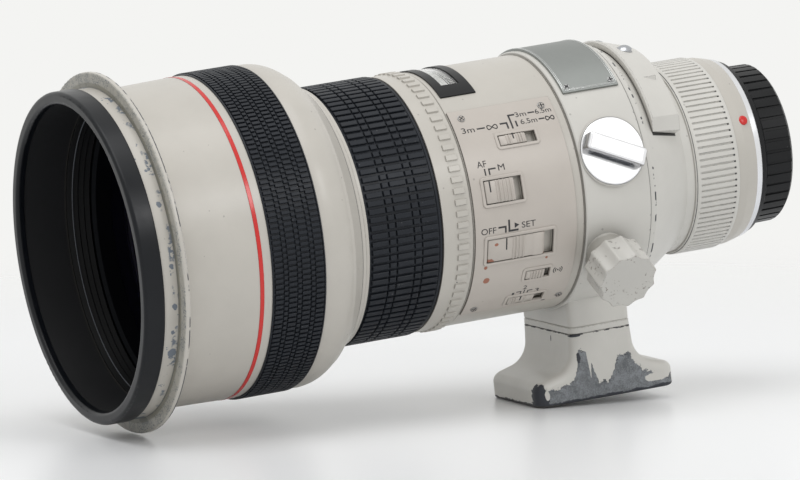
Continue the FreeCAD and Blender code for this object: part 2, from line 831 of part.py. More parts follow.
# Focus ring: a sleeve on the main tube with a ribbed rubber cover.
sleeve_lip = size("focus_sleeve_lip", 0.2)
sleeve_seat = focus_grip_radius - rubber_wall
node("focus_ring_sleeve", turned("focus_sleeve_body", [
    (shoulder_rear + side_gap, tube_radius + running_gap),
    (shoulder_rear + side_gap, focus_grip_radius + sleeve_lip),
    (focus_front, focus_grip_radius + sleeve_lip),
    (focus_front, sleeve_seat),
    (playback_front - side_gap, sleeve_seat),
    (playback_front - side_gap, tube_radius + running_gap),
]))
focus_rows = size("focus_grip_rows", 5)
focus_groove = size("focus_grip_groove", 0.7)
focus_depth = size("focus_grip_depth", 0.6)
focus_length = playback_front - side_gap - focus_front
focus_pitch = focus_length / focus_rows
focus_points = [(focus_front, sleeve_seat)]
for row in range(int(focus_rows.value)):
    start = focus_front + focus_pitch * row
    focus_points.append((start, focus_grip_radius - focus_depth))
    focus_points.append((start + focus_groove, focus_grip_radius))
    focus_points.append((start + focus_pitch - focus_groove, focus_grip_radius))
focus_points.append((focus_front + focus_length, focus_grip_radius - focus_depth))
focus_points.append((focus_front + focus_length, sleeve_seat))
node("focus_ring_rubber", turned("focus_rubber_body", focus_points))

# Playback ring: a narrow sprung ring with raised pads round its rear half.
pad_count = size("playback_pad_count", 72)
pad_length = size("playback_pad_length", 4.2)
pad_width = size("playback_pad_width", 2.5)
pad_height = size("playback_pad_height", 0.6)
pad_rear_gap = size("playback_pad_rear_gap", 1.6)
pad_bevel = size("playback_pad_bevel", 0.3)
playback_start = playback_front + side_gap
playback_end = panel_front - side_gap
playback = turned("playback_ring_body", [
    (playback_start, tube_radius + running_gap),
    (playback_start, playback_radius),
    (playback_end, playback_radius),
    (playback_end, tube_radius + running_gap),
])
doc.recompute([playback])
pad_sketch = sketch_on(playback, "YZ_Plane", "playback_pad_profile")
outline(pad_sketch, [
    (-pad_width / 2, playback_radius - pad_height),
    (pad_width / 2, playback_radius - pad_height),
    (pad_width / 2 - pad_bevel, playback_radius + pad_height),
    (-pad_width / 2 + pad_bevel, playback_radius + pad_height),
])
pad_sketch.AttachmentOffset = Placement(Vector(0, 0, -1), Rotation())
bind(pad_sketch, "AttachmentOffset.Base.z", playback_end - pad_rear_gap - pad_length)
pad = playback.newObject("PartDesign::Pad", "playback_pad")
pad.Profile = pad_sketch
bind(pad, "Length", pad_length)
playback.Tip = pad
ring_pattern(playback, pad, pad_count)
node("playback_ring", playback)

# Rear barrel: the bearing for the tripod collar, a land behind it, the cone and the neck.
land_step = size("land_step", 0.5)
cone_foot = barrel_radius - land_step
slot_length = size("filter_slot_length", 10.4)
filter_hole = size("filter_hole_radius", 24.0)
filter_frame_wall = size("filter_frame_wall", 4.7)
slot_half_width = filter_hole + filter_frame_wall + side_gap
slot_front = cone_front + size("filter_slot_offset", 4.1)
rear_shell = turned("rear_barrel_body", [
    (collar_front, tube_bore_radius),
    (collar_front, bearing_radius),
    (collar_rear, bearing_radius),
    (collar_rear, barrel_radius),
    (cone_front, cone_foot),
    (cone_rear, neck_radius),
    (ribbed_front, neck_radius),
    (ribbed_front, neck_seat),
    (cover_front, neck_seat),
    (cover_front, neck_bore_radius),
    (cone_rear, neck_bore_radius),
    (cone_front, tube_bore_radius),
])
slot = box("filter_slot", (slot_front, -slot_half_width, 0), (slot_length, slot_half_width * 2, barrel_radius))
node("rear_barrel", cut("rear_barrel_cut", rear_shell, [slot]))

rib_count = size("rear_rib_count", 96)
rib_gap = size("rear_rib_gap", 0.7)
rib_depth = size("rear_rib_depth", 0.5)
rib_end = size("rear_rib_end", 1.4)
rib_draft = size("rear_rib_draft", 0.1)
ring_bevel = size("rear_ring_bevel", 0.8)
ring_bevel_depth = size("rear_ring_bevel_depth", 0.3)
ribbed = turned("ribbed_ring_body", [
    (ribbed_front, neck_seat),
    (ribbed_front, ribbed_radius - ring_bevel_depth),
    (ribbed_front + ring_bevel, ribbed_radius),
    (cover_front - ring_bevel, ribbed_radius),
    (cover_front, ribbed_radius - ring_bevel_depth),
    (cover_front, neck_seat),
])
doc.recompute([ribbed])
rib_sketch = sketch_on(ribbed, "YZ_Plane", "rear_rib_profile")
outline(rib_sketch, [
    (-rib_gap / 2 + rib_draft, ribbed_radius - rib_depth),
    (rib_gap / 2 - rib_draft, ribbed_radius - rib_depth),
    (rib_gap / 2 + rib_draft, ribbed_radius + rib_depth),
    (-rib_gap / 2 - rib_draft, ribbed_radius + rib_depth),
])
rib_sketch.AttachmentOffset = Placement(Vector(0, 0, -1), Rotation())
bind(rib_sketch, "AttachmentOffset.Base.z", cover_front - rib_end)
groove = ribbed.newObject("PartDesign::Pocket", "rear_rib_groove")
groove.Profile = rib_sketch
bind(groove, "Length", ribbed_ring_length - rib_end * 2)
ribbed.Tip = groove
ring_pattern(ribbed, groove, rib_count)
node("ribbed_rear_ring", ribbed)

cover_front_step = size("cover_front_step", 0.6)
cover_land_length = size("cover_land_length", 3.5)
cover_land_drop = size("cover_land_drop", 0.1)
cover_edge = size("cover_edge", 1.0)
cover_edge_drop = size("cover_edge_drop", 0.3)
cover_outline = [
    (cover_front, neck_bore_radius),
    (cover_front, ribbed_radius - cover_front_step),
    (cover_front + cover_land_length, ribbed_radius - cover_front_step - cover_land_drop),
    (mount_front - cover_edge, cover_rear_radius),
    (mount_front, cover_rear_radius - cover_edge_drop),
    (mount_front, neck_bore_radius),
]
node("mount_cover_ring", turned("mount_cover_body", cover_outline))

# Red index mark for lining the lens up with the camera.
index_radius = size("index_radius", 1.9)
index_angle = size("index_angle", 113.5)
index_sunk = size("index_sunk", 0.4)
index_height = size("index_height", 1.2)
index_station = mount_front - size("index_inset", 3.2)
dot = rod("index_dot_rod", (index_station, 0, cover_rear_radius - index_sunk), index_radius, index_height)
cover_face = turned("index_dot_face", cover_outline)
node("index_dot", cut("index_dot_cut", group("index_dot_set", [dot], index_angle), [cover_face]))

# Camera bayonet: seating ring, spigot inside the cover, tube and three lugs.
spigot_length = size("spigot_length", 5.0)
spigot_wall = size("spigot_wall", 3.2)
bayonet_length = size("bayonet_length", 5.6)
lug_height = size("lug_height", 2.1)
lug_radius = bayonet_tube_radius + lug_height
lug_offset = size("lug_offset", 2.4)
lug_thickness = size("lug_thickness", 1.5)
lug_span_angle = size("lug_span_angle", 58.0)
lug_count = 3
lug_step = 360 / lug_count
mount_plate = turned("bayonet_body", [
    (mount_front - spigot_length, neck_bore_radius - spigot_wall),
    (mount_front - spigot_length, neck_bore_radius),
    (mount_front, neck_bore_radius),
    (mount_front, mount_radius),
    (0, mount_radius),
    (0, bayonet_tube_radius),
    (bayonet_length, bayonet_tube_radius),
    (bayonet_length, mount_bore_radius),
    (mount_front, mount_bore_radius),
    (mount_front, neck_bore_radius - spigot_wall),
])
soften(mount_plate, [(0, mount_radius)], edge_bevel, "Chamfer")
lugs = []
for index in range(lug_count):
    lugs.append(turned("bayonet_lug%d" % index, [
        (lug_offset, bayonet_tube_radius - margin),
        (lug_offset, lug_radius),
        (lug_offset + lug_thickness, lug_radius),
        (lug_offset + lug_thickness, bayonet_tube_radius - margin),
    ], lug_span_angle, lug_step * index + index_angle))
node("bayonet_mount", fuse("bayonet_mount_shape", [mount_plate] + lugs))

mount_screw_radius = size("mount_screw_radius", 1.4)
mount_screw_proud = size("mount_screw_proud", 0.1)
mount_screw_circle = (bayonet_tube_radius + mount_radius) / 2
mount_screw_set = []
for index in range(4):
    turn = rod("mount_screw%d_rod" % index, (0, 0, mount_screw_circle), mount_screw_radius,
               mount_screw_proud, "x")
    mount_screw_set.append(group("mount_screw%d" % index, [turn], 90 * index + index_angle - 45))
node("mount_screws", group("mount_screws_set", mount_screw_set))

# Electrical contacts at the foot of the bayonet tube.
contact_span_angle = size("contact_span_angle", 74.0)
contact_height = size("contact_block_height", 3.6)
contact_angle = size("contact_angle", 300.0)
contact_rear = size("contact_block_rear", 4.4)
pin_radius = size("pin_radius", 0.75)
pin_proud = size("pin_proud", 0.5)
pin_count = 8
node("contact_block", turned("contact_block_body", [
    (mount_front, mount_bore_radius - contact_height),
    (mount_front, mount_bore_radius),
    (contact_rear, mount_bore_radius),
    (contact_rear, mount_bore_radius - contact_height),
], contact_span_angle, contact_angle))
pins = []
for index in range(pin_count):
    pin = rod("contact_pin%d_rod" % index, (contact_rear, 0, mount_bore_radius - contact_height / 2),
              pin_radius, pin_proud, "x")
    offset = contact_span_angle * ((index + 0.5) / pin_count - 0.5)
    pins.append(group("contact_pin%d" % index, [pin], contact_angle + offset))
node("contact_pins", group("contact_pins_set", pins))

# Rear glass in its cell, inside the neck.
rear_cell_length = size("rear_cell_length", 14.0)
rear_cell_step = size("rear_cell_step", 2.5)
rear_glass_seat = size("rear_glass_seat", 2.5)
rear_cell_lip = size("rear_cell_lip", 3.0)
rear_cell_bore = mount_bore_radius - rear_cell_step
rear_cell_front = mount_front - spigot_length - rear_cell_length
node("rear_lens_cell", turned("rear_cell_body", [
    (rear_cell_front, rear_cell_bore + rear_glass_seat),
    (rear_cell_front, neck_bore_radius),
    (mount_front - spigot_length, neck_bore_radius),
    (mount_front - spigot_length, rear_cell_bore),
    (mount_front - spigot_length - rear_cell_lip, rear_cell_bore),
    (mount_front - spigot_length - rear_cell_lip, rear_cell_bore + rear_glass_seat),
]))
rear_bulge = size("rear_glass_bulge", 2.4)
rear_edge = rear_cell_length - rear_cell_lip - rear_bulge
rear_glass_radius = rear_cell_bore + rear_glass_seat
glass("rear_glass", rear_cell_front + rear_bulge, rear_edge, rear_glass_radius, rear_cell_bore, rear_bulge)

# Rear cap, drawn in its fitted place: rim disc, ribbed skirt, closed end and three inner lugs.
cap_rim_inset = size("cap_rim_inset", 0.7)
cap_clearance = size("cap_clearance", 0.4)
cap_length = size("cap_length", 14.6)
cap_wall = size("cap_wall", 1.6)
cap_rim_taper = size("cap_rim_taper", 0.4)
cap_skirt_taper = size("cap_skirt_taper", 0.2)
cap_end_bevel = size("cap_end_bevel", 1.2)
cap_end_step = size("cap_end_step", 1.5)
cap_rim_radius = mount_radius - cap_rim_inset
cap_radius = lug_radius + cap_clearance + cap_wall
cap_rim_length = size("cap_rim_length", 1.8)
cap_cone_length = size("cap_cone_length", 1.8)
cap_rib_count = size("cap_rib_count", 44)
cap_rib_depth = size("cap_rib_depth", 0.6)
cap_rib_gap = size("cap_rib_gap", 1.5)
cap_start = size("cap_seat_gap", 0.15)
cap_skirt = cap_start + cap_rim_length + cap_cone_length
cap = turned("rear_cap_body", [
    (cap_start, cap_radius - cap_wall),
    (cap_start, cap_rim_radius),
    (cap_start + cap_rim_length, cap_rim_radius - cap_rim_taper),
    (cap_skirt, cap_radius),
    (cap_length - cap_end_bevel, cap_radius - cap_skirt_taper),
    (cap_length, cap_radius - cap_end_step),
    (cap_length, 0),
    (cap_length - cap_wall, 0),
    (cap_length - cap_wall, cap_radius - cap_wall),
])
doc.recompute([cap])
cap_rib_draft = size("cap_rib_draft", 0.3)
cap_sketch = sketch_on(cap, "YZ_Plane", "cap_rib_profile")
outline(cap_sketch, [
    (-cap_rib_gap / 2 + cap_rib_draft, cap_radius - cap_rib_depth),
    (cap_rib_gap / 2 - cap_rib_draft, cap_radius - cap_rib_depth),
    (cap_rib_gap / 2, cap_radius + cap_rib_depth),
    (-cap_rib_gap / 2, cap_radius + cap_rib_depth),
])
cap_sketch.AttachmentOffset = Placement(Vector(0, 0, 1), Rotation())
bind(cap_sketch, "AttachmentOffset.Base.z", cap_length + margin)
cap_groove = cap.newObject("PartDesign::Pocket", "cap_rib_groove")
cap_groove.Profile = cap_sketch
bind(cap_groove, "Length", cap_length + margin - cap_skirt)
cap.Tip = cap_groove
ring_pattern(cap, cap_groove, cap_rib_count)
cap_lugs = []
cap_lug_length = size("cap_lug_length", 1.4)
cap_lug_root = size("cap_lug_root", 0.3)
cap_lug_span_angle = size("cap_lug_span_angle", 48.0)
cap_lug_start = lug_offset + lug_thickness + side_gap
cap_lug_end = cap_lug_start + cap_lug_length
cap_lug_outer = cap_radius - cap_wall + cap_lug_root
for index in range(lug_count):
    cap_lugs.append(turned("cap_lug%d" % index, [
        (cap_lug_start, bayonet_tube_radius + side_gap),
        (cap_lug_start, cap_lug_outer),
        (cap_lug_end, cap_lug_outer),
        (cap_lug_end, bayonet_tube_radius + side_gap),
    ], cap_lug_span_angle, lug_step * (index + 0.5) + index_angle))
node("rear_cap", fuse("rear_cap_shape", [cap] + cap_lugs))

# Tripod collar: ring, pedestal for the foot, boss for the lock knob and beds for the strap lugs.
pedestal_half_length = size("pedestal_half_length", 11.9)
pedestal_half_width = size("pedestal_half_width", 20.9)
pedestal_height = size("pedestal_height", 4.8)
pedestal_root = size("pedestal_root", 13.0)
pedestal_round = size("pedestal_round", 3.2)
joint_bevel = size("foot_joint_bevel", 0.3)
foot_height = size("foot_height", 26.8)
pedestal_drop = collar_radius + pedestal_height
foot_drop = pedestal_drop + foot_height
knob_angle = size("knob_angle", 61.0)
knob_offset = size("knob_offset", 5.0)
knob_boss_radius = size("knob_boss_radius", 7.4)
knob_boss_rise = size("knob_boss_rise", 8.2)
knob_boss_root = size("knob_boss_root", 2.0)
knob_boss_top = collar_radius + knob_boss_rise
knob_shaft_radius = size("knob_shaft_radius", 3.0)
lug_angle = size("strap_lug_angle", 105.8)
strap_lug_radius = size("strap_lug_radius", 12.2)
strap_bed_land = size("strap_bed_land", 0.65)
bed_reach = strap_lug_radius + strap_bed_land
strap_bed = root(collar_radius * collar_radius - bed_reach * bed_reach)
collar_start = collar_front + side_gap
collar_end = collar_rear - side_gap
knob_station = collar_middle - knob_offset
ring = turned("collar_ring_body", [
    (collar_start, bearing_radius + running_gap),
    (collar_start, collar_radius),
    (collar_end, collar_radius),
    (collar_end, bearing_radius + running_gap),
])
soften(ring, [(collar_start, collar_radius), (collar_end, collar_radius)], edge_bevel, "Chamfer")
pedestal = post("collar_pedestal", collar_middle, pedestal_half_length, pedestal_half_width,
                -pedestal_drop, pedestal_root - bearing_radius, pedestal_round)
soften_level(pedestal, -pedestal_drop, joint_bevel, "Chamfer")
knob_boss = radial_rod("knob_boss", knob_station, knob_angle, knob_boss_radius,
                       bearing_radius - knob_boss_root, knob_boss_top)
bearing = rod("collar_bearing", (collar_front - margin, 0, 0), bearing_radius + running_gap,
              collar_length + margin * 2, "x")
beds = []
for side, angle in (("left", lug_angle), ("right", 360 - lug_angle)):
    beds.append(radial_rod("strap_bed_" + side, collar_middle, angle, strap_lug_radius, strap_bed,
                           collar_radius + margin))
knob_hole = radial_rod("knob_hole", knob_station, knob_angle, knob_shaft_radius + running_gap,
                       bearing_radius - knob_boss_root - margin, knob_boss_top + margin)
foot_screw_radius = size("foot_screw_radius", 2.0)
foot_screw_head = size("foot_screw_head_radius", 3.5)
foot_screw_x = size("foot_screw_half_spacing", 6.6)
foot_screw_y = size("foot_screw_half_width", 14.5)
foot_screw_depth = size("foot_screw_depth", 5.0)
foot_counterbore = size("foot_counterbore", 14.0)
screw_holes = []
for index, (side, across) in enumerate(CORNERS):
    start = (collar_middle + foot_screw_x * side, foot_screw_y * across, -pedestal_drop)
    screw_holes.append(rod("collar_screw_hole%d" % index, start, foot_screw_radius, foot_screw_depth))
collar_solid = fuse("collar_solid", [ring, pedestal, knob_boss])
node("collar_ring", cut("collar_ring_cut", collar_solid, [bearing] + beds + [knob_hole] + screw_holes))

# Tripod foot: a short neck that flares into a long plate, with two threaded holes underneath.
foot_half_length = size("foot_half_length", 27.3)
toe_height = size("toe_height", 8.2)
toe_rise = size("toe_rise", 4.0)
flare_radius = size("flare_radius", 9.0)
toe_corner = size("toe_corner", 5.0)
neck_lean = size("foot_neck_lean", 1.0)
sole_round = size("sole_round", 1.2)
foot = doc.addObject("PartDesign::Body", "tripod_foot_body")
foot_sketch = sketch_on(foot, "XZ_Plane", "tripod_foot_profile")
toe_top = -foot_drop + toe_height
flare_top = toe_top + toe_rise
foot_front = collar_middle - foot_half_length
foot_rear = collar_middle + foot_half_length
neck_front = collar_middle - pedestal_half_length
neck_rear = collar_middle + pedestal_half_length
outline(foot_sketch, [
    (neck_front, -pedestal_drop),
    (neck_rear, -pedestal_drop),
    (neck_rear + neck_lean, flare_top),
    (foot_rear, toe_top),
    (foot_rear, -foot_drop),
    (foot_front, -foot_drop),
    (foot_front, toe_top),
    (neck_front - neck_lean, flare_top),
])
foot_pad = foot.newObject("PartDesign::Pad", "tripod_foot_pad")
foot_pad.Profile = foot_sketch
foot_pad.Midplane = True
bind(foot_pad, "Length", pedestal_half_width * 2)
foot.Tip = foot_pad
flares = [(neck_front - neck_lean, 0, flare_top), (neck_rear + neck_lean, 0, flare_top)]
soften_lines(foot, ACROSS, flares, flare_radius)
toe_corners = []
for side, across in CORNERS:
    toe_corners.append((collar_middle + foot_half_length * side, pedestal_half_width * across, 0))
soften_lines(foot, UP, toe_corners, toe_corner)
soften_lines(foot, ACROSS, [(foot_front, 0, toe_top), (foot_rear, 0, toe_top)], pedestal_round)
soften_lines(foot, ACROSS, [(foot_front, 0, -foot_drop), (foot_rear, 0, -foot_drop)], sole_round)
soften_level(foot, -pedestal_drop, joint_bevel, "Chamfer")
band_height = size("foot_band_height", 2.2)
line_depth = size("foot_line_depth", 0.3)
line_width = size("foot_line_width", 0.4)
line_top = -pedestal_drop - band_height
line_block = post("foot_line_block", collar_middle, pedestal_half_length + margin, pedestal_half_width + margin,
                  line_top - line_width, line_top, pedestal_round)
line_core = post("foot_line_core", collar_middle, pedestal_half_length - line_depth,
                 pedestal_half_width - line_depth, line_top - line_width - margin, line_top + margin,
                 pedestal_round - line_depth)
foot_line = cut("foot_line", line_block, [line_core])
large_thread = size("large_thread_radius", 4.0)
small_thread = size("small_thread_radius", 2.55)
thread_depth = size("thread_depth", 9.0)
small_depth = size("small_thread_depth", 7.5)
small_offset = size("small_thread_offset", 15.0)
head_height = size("foot_screw_head_height", 3.0)
socket_depth = size("foot_screw_socket_depth", 1.6)
socket_radius = size("foot_screw_socket_radius", 1.8)
foot_holes = [
    foot_line,
    rod("large_thread_hole", (collar_middle, 0, -foot_drop), large_thread, thread_depth),
    rod("small_thread_hole", (collar_middle + small_offset, 0, -foot_drop), small_thread, small_depth),
]
foot_screws = []
for index, (side, across) in enumerate(CORNERS):
    x = collar_middle + foot_screw_x * side
    y = foot_screw_y * across
    foot_holes.append(rod("foot_screw_bore%d" % index, (x, y, -foot_drop), foot_screw_head, foot_counterbore))
    foot_holes.append(rod("foot_screw_hole%d" % index, (x, y, -foot_drop), foot_screw_radius,
                          foot_drop - pedestal_drop))
    head_start = -foot_drop + foot_counterbore - head_height
    shank_start = head_start + head_height / 2
    head = rod("foot_screw_head%d" % index, (x, y, head_start), foot_screw_head, head_height)
    shank = rod("foot_screw_shank%d" % index, (x, y, shank_start), foot_screw_radius,
                foot_screw_depth - pedestal_drop - shank_start)
    socket = doc.addObject("Part::Prism", "foot_screw_socket%d" % index)
    socket.Polygon = 6
    bind(socket, "Circumradius", socket_radius)
    bind(socket, "Height", socket_depth)
    place(socket, (x, y, head_start))
    foot_screws.append(cut("foot_screw%d" % index, fuse("foot_screw_solid%d" % index, [head, shank]), [socket]))
node("tripod_foot", cut("tripod_foot_cut", foot, foot_holes))
node("foot_screws", group("foot_screws_set", foot_screws))

# Bare name plate on top of the collar, with a screw in each corner.
plate_thickness = size("name_plate_thickness", 0.8)
plate_sweep = size("name_plate_span_angle", 88.0)
plate_margin = size("name_plate_margin", 1.9)
name_front = collar_start + plate_margin
name_rear = collar_end - plate_margin
node("name_plate", turned("name_plate_body", [
    (name_front, collar_radius),
    (name_front, collar_radius + plate_thickness),
    (name_rear, collar_radius + plate_thickness),
    (name_rear, collar_radius),
], plate_sweep, top))
plate_screws = []
plate_screw_inset = size("name_plate_screw_inset", 2.2)
plate_screw_radius = size("name_plate_screw_radius", 1.04)
plate_screw_angle = plate_sweep / 2 - size("name_plate_screw_angle", 3.0)
for index, (side, across) in enumerate(CORNERS):
    station = name_front + plate_screw_inset if side < 0 else name_rear - plate_screw_inset
    plate_screws.append(screw("plate_screw%d" % index, station, top + plate_screw_angle * across,
                              collar_radius + plate_thickness, plate_screw_radius, screw_proud))
node("plate_screws", group("plate_screws_set", plate_screws))

# Strap lugs: a bright disc with a raised bar across it and a slot for the strap under the bar.
lug_disc_thickness = size("strap_disc_thickness", 2.8)
lug_disc_bevel = size("strap_disc_bevel", 0.4)
lug_bar_width = size("strap_bar_width", 6.4)
lug_bar_half_length = size("strap_bar_half_length", 11.4)
lug_passage_half_length = size("strap_passage_half_length", 7.6)
lug_bar_gap = size("strap_bar_gap", 2.6)
lug_bar_thickness = size("strap_bar_thickness", 2.4)
lug_bar_turn = size("strap_bar_turn", 26.0)
lug_bar_end_round = size("strap_bar_end_round", 1.8)
lug_bar_edge_round = size("strap_bar_edge_round", 0.9)
disc_top = strap_bed + lug_disc_thickness
bar_root = disc_top - lug_disc_bevel
bar_low = disc_top + lug_bar_gap
bar_top = bar_low + lug_bar_thickness
for side, angle, sense in (("left", lug_angle, -1), ("right", 360 - lug_angle, 1)):
    name = "strap_lug_" + side
    disc = upright(name + "_disc", [
        (0, strap_bed),
        (strap_lug_radius, strap_bed),
        (strap_lug_radius, disc_top - lug_disc_bevel),
        (strap_lug_radius - lug_disc_bevel, disc_top),
        (0, disc_top),
    ])
    bar = doc.addObject("PartDesign::Body", name + "_bar")
    bar_sketch = sketch_on(bar, "XZ_Plane", name + "_bar_profile")
    outline(bar_sketch, [
        (-lug_bar_half_length, bar_root),
        (-lug_bar_half_length, bar_top),
        (lug_bar_half_length, bar_top),
        (lug_bar_half_length, bar_root),
        (lug_passage_half_length, bar_root),
        (lug_passage_half_length, bar_low),
        (-lug_passage_half_length, bar_low),
        (-lug_passage_half_length, bar_root),
    ])
    bar_pad = bar.newObject("PartDesign::Pad", name + "_bar_pad")
    bar_pad.Profile = bar_sketch
    bar_pad.Midplane = True
    bind(bar_pad, "Length", lug_bar_width)
    bar.Tip = bar_pad
    ends = [(lug_bar_half_length * end, 0, bar_top) for end in (-1, 1)]
    soften_lines(bar, ACROSS, ends, lug_bar_end_round)
    soften_lines(bar, AXIS, [(0, lug_bar_width / 2 * edge, bar_top) for edge in (-1, 1)], lug_bar_edge_round)
    lug_solid = fuse(name + "_solid", [disc, bar])
    spun = swing(name + "_spun", lug_solid, UP * sense, lug_bar_turn, (collar_middle, 0, 0))
    node(name, group(name + "_set", [spun], angle))

# Lock knob: scalloped head on a threaded shaft that presses on the bearing.
knob_radius = size("knob_radius", 11.2)
knob_thickness = size("knob_thickness", 11.0)
flute_count = size("knob_flute_count", 11)
flute_radius = size("knob_flute_radius", 3.4)
flute_depth = size("knob_flute_depth", 1.15)
knob_bevel = size("knob_bevel", 0.4)
knob_under_bevel = size("knob_under_bevel", 2.2)
knob_seat = knob_boss_top + side_gap
knob_top = knob_seat + knob_thickness
knob = upright("lock_knob_body", [
    (0, bearing_radius + side_gap),
    (knob_shaft_radius, bearing_radius + side_gap),
    (knob_shaft_radius, knob_seat),
    (knob_radius - knob_under_bevel, knob_seat),
    (knob_radius, knob_seat + knob_under_bevel),
    (knob_radius, knob_top - knob_bevel),
    (knob_radius - knob_bevel, knob_top),
    (0, knob_top),
])
doc.recompute([knob])
flute_sketch = sketch_on(knob, "XY_Plane", "lock_knob_flute")
flute_centre = knob_radius + flute_radius - flute_depth
flute_circle = Part.Circle(Vector(flute_centre.value, 0, 0), UP, flute_radius.value)
flute_sketch.addGeometry(flute_circle, False)
flute_sketch.addConstraint(Sketcher.Constraint("PointOnObject", 0, 3, -1))
tie(flute_sketch, "DistanceX", flute_centre, -1, 1, 0, 3)
tie(flute_sketch, "Radius", flute_radius, 0)
flute_sketch.AttachmentOffset = Placement(Vector(0, 0, knob_top.value), Rotation())
bind(flute_sketch, "AttachmentOffset.Base.z", knob_top + margin)
flute = knob.newObject("PartDesign::Pocket", "lock_knob_flute_cut")
flute.Profile = flute_sketch
bind(flute, "Length", knob_thickness + margin)
knob.Tip = flute
doc.recompute([knob])
flutes = knob.newObject("PartDesign::PolarPattern", "lock_knob_flutes")
flutes.Originals = [flute]
flutes.Axis = (origin_plane(knob, "Z_Axis"), [""])
flutes.Angle = 360
bind(flutes, "Occurrences", flute_count)
knob.Tip = flutes
knob_spot = group("lock_knob_spot", [knob])
bind(knob_spot, "Placement.Base.x", knob_station)
node("lock_knob", group("lock_knob_set", [knob_spot], knob_angle))

# Drop-in filter: arched cap on the cone, frame that goes down through the slot, ring and glass.
arch_sweep = size("filter_arch_span_angle", 136.0)
arch_front_gap = size("filter_arch_front_gap", 3.3)
arch_length = size("filter_arch_length", 12.5)
arch_rise = size("filter_arch_rise", 0.3)
arch_drop = size("filter_arch_drop", 3.4)
arch_bevel = size("filter_arch_bevel", 0.6)
arch_bevel_depth = size("filter_arch_bevel_depth", 0.5)
arch_gap = size("filter_arch_gap", 0.4)
arch_front_radius = barrel_radius + arch_rise
arch_rear_radius = arch_front_radius - arch_drop
frame_thickness = size("filter_frame_thickness", 6.0)
frame_half_width = slot_half_width - side_gap
arch_front = cone_front + arch_front_gap
arch_rear = arch_front + arch_length
slope = (cone_foot - neck_radius) / rear_cone_length
arch_low_front = cone_foot - slope * arch_front_gap + arch_gap
arch_low_rear = cone_foot - slope * (arch_front_gap + arch_length) + arch_gap
arch_cap = turned("filter_arch_body", [
    (arch_front, arch_low_front),
    (arch_front, arch_front_radius - arch_bevel_depth),
    (arch_front + arch_bevel, arch_front_radius),
    (arch_rear - arch_bevel, arch_rear_radius),
    (arch_rear, arch_rear_radius - arch_bevel_depth),
    (arch_rear, arch_low_rear),
], arch_sweep, top)
frame_front = slot_front + (slot_length - frame_thickness) / 2
frame_top = arch_low_rear - size("filter_frame_drop", 1.0)
frame_block = box("filter_frame_block", (frame_front, -frame_half_width, 0),
                  (frame_thickness, frame_half_width * 2, frame_top))
frame_round = rod("filter_frame_round", (frame_front, 0, 0), frame_half_width, frame_thickness, "x")
frame_shoulder = size("filter_frame_shoulder", 22.0)
frame_overlap = size("filter_frame_overlap", 4.0)
frame_neck_low = frame_top - frame_overlap
frame_neck = common("filter_frame_neck", [
    box("filter_neck_block", (frame_front, -frame_shoulder, frame_neck_low),
        (frame_thickness, frame_shoulder * 2, arch_front_radius - frame_neck_low)),
    rod("filter_neck_round", (frame_front, 0, 0), arch_rear_radius, frame_thickness, "x"),
])
frame_hole_rod = rod("filter_frame_hole", (frame_front - margin, 0, 0), filter_hole,
                     frame_thickness + margin * 2, "x")

# Each end of the arch is bevelled by a block that lies along its outer face.
end_bevel_angle = size("filter_end_bevel_angle", 25.0)
end_bevel_drop = size("filter_end_bevel_drop", 2.2)
end_slope_angle = size("filter_end_slope_angle", 16.7)
block_size = size("filter_end_block", 30.0)
arch_bevels = []
for side, angle, sense in (("left", 180 - arch_sweep / 2, 1), ("right", 180 + arch_sweep / 2, -1)):
    name = "filter_end_" + side
    block = box(name + "_block", (-block_size / 2, -block_size / 2, 0),
                (block_size * 2, block_size, block_size))
    sloped = swing(name + "_sloped", block, ACROSS, end_slope_angle, (0, 0, 0))
    raised = swing(name + "_raised", sloped, AXIS * sense, end_bevel_angle,
                   (arch_front, 0, arch_front_radius - end_bevel_drop))
    arch_bevels.append(group(name, [raised], angle))
arch_cap_bevelled = cut("filter_arch_bevelled", arch_cap, arch_bevels)
button_radius = size("filter_button_radius", 2.6)
button_station = arch_front + size("filter_button_inset", 6.0)
button_angle = size("filter_button_angle", 165.0)
button_depth = size("filter_button_depth", 4.6)
button_bore = arch_front_radius - button_depth
button_seats = []
for side, angle in (("left", button_angle), ("right", 360 - button_angle)):
    button_seats.append(radial_rod("filter_button_seat_" + side, button_station, angle,
                                   button_radius + running_gap, button_bore, arch_front_radius + margin))
holder = fuse("filter_holder_solid", [arch_cap_bevelled, frame_block, frame_round, frame_neck])
node("filter_holder", cut("filter_holder_cut", holder, [frame_hole_rod] + button_seats))
filter_rim = size("filter_rim_width", 1.6)
filter_rim_inset = size("filter_rim_inset", 0.5)
node("filter_ring", turned("filter_ring_body", [
    (frame_front + filter_rim_inset, filter_hole - filter_rim),
    (frame_front + filter_rim_inset, filter_hole),
    (frame_front + frame_thickness - filter_rim_inset, filter_hole),
    (frame_front + frame_thickness - filter_rim_inset, filter_hole - filter_rim),
]))
pane = size("filter_pane_thickness", 1.6)
node("filter_glass", rod("filter_glass_disc", (frame_front + (frame_thickness - pane) / 2, 0, 0),
                         filter_hole - filter_rim, pane, "x"))
button_travel = size("filter_button_travel", 0.8)
button_top = arch_front_radius
button_dome = size("filter_button_dome", 1.1)
stem_start = button_bore + button_travel + side_gap
dome_curve = (button_radius * button_radius + button_dome * button_dome) / (button_dome * 2)
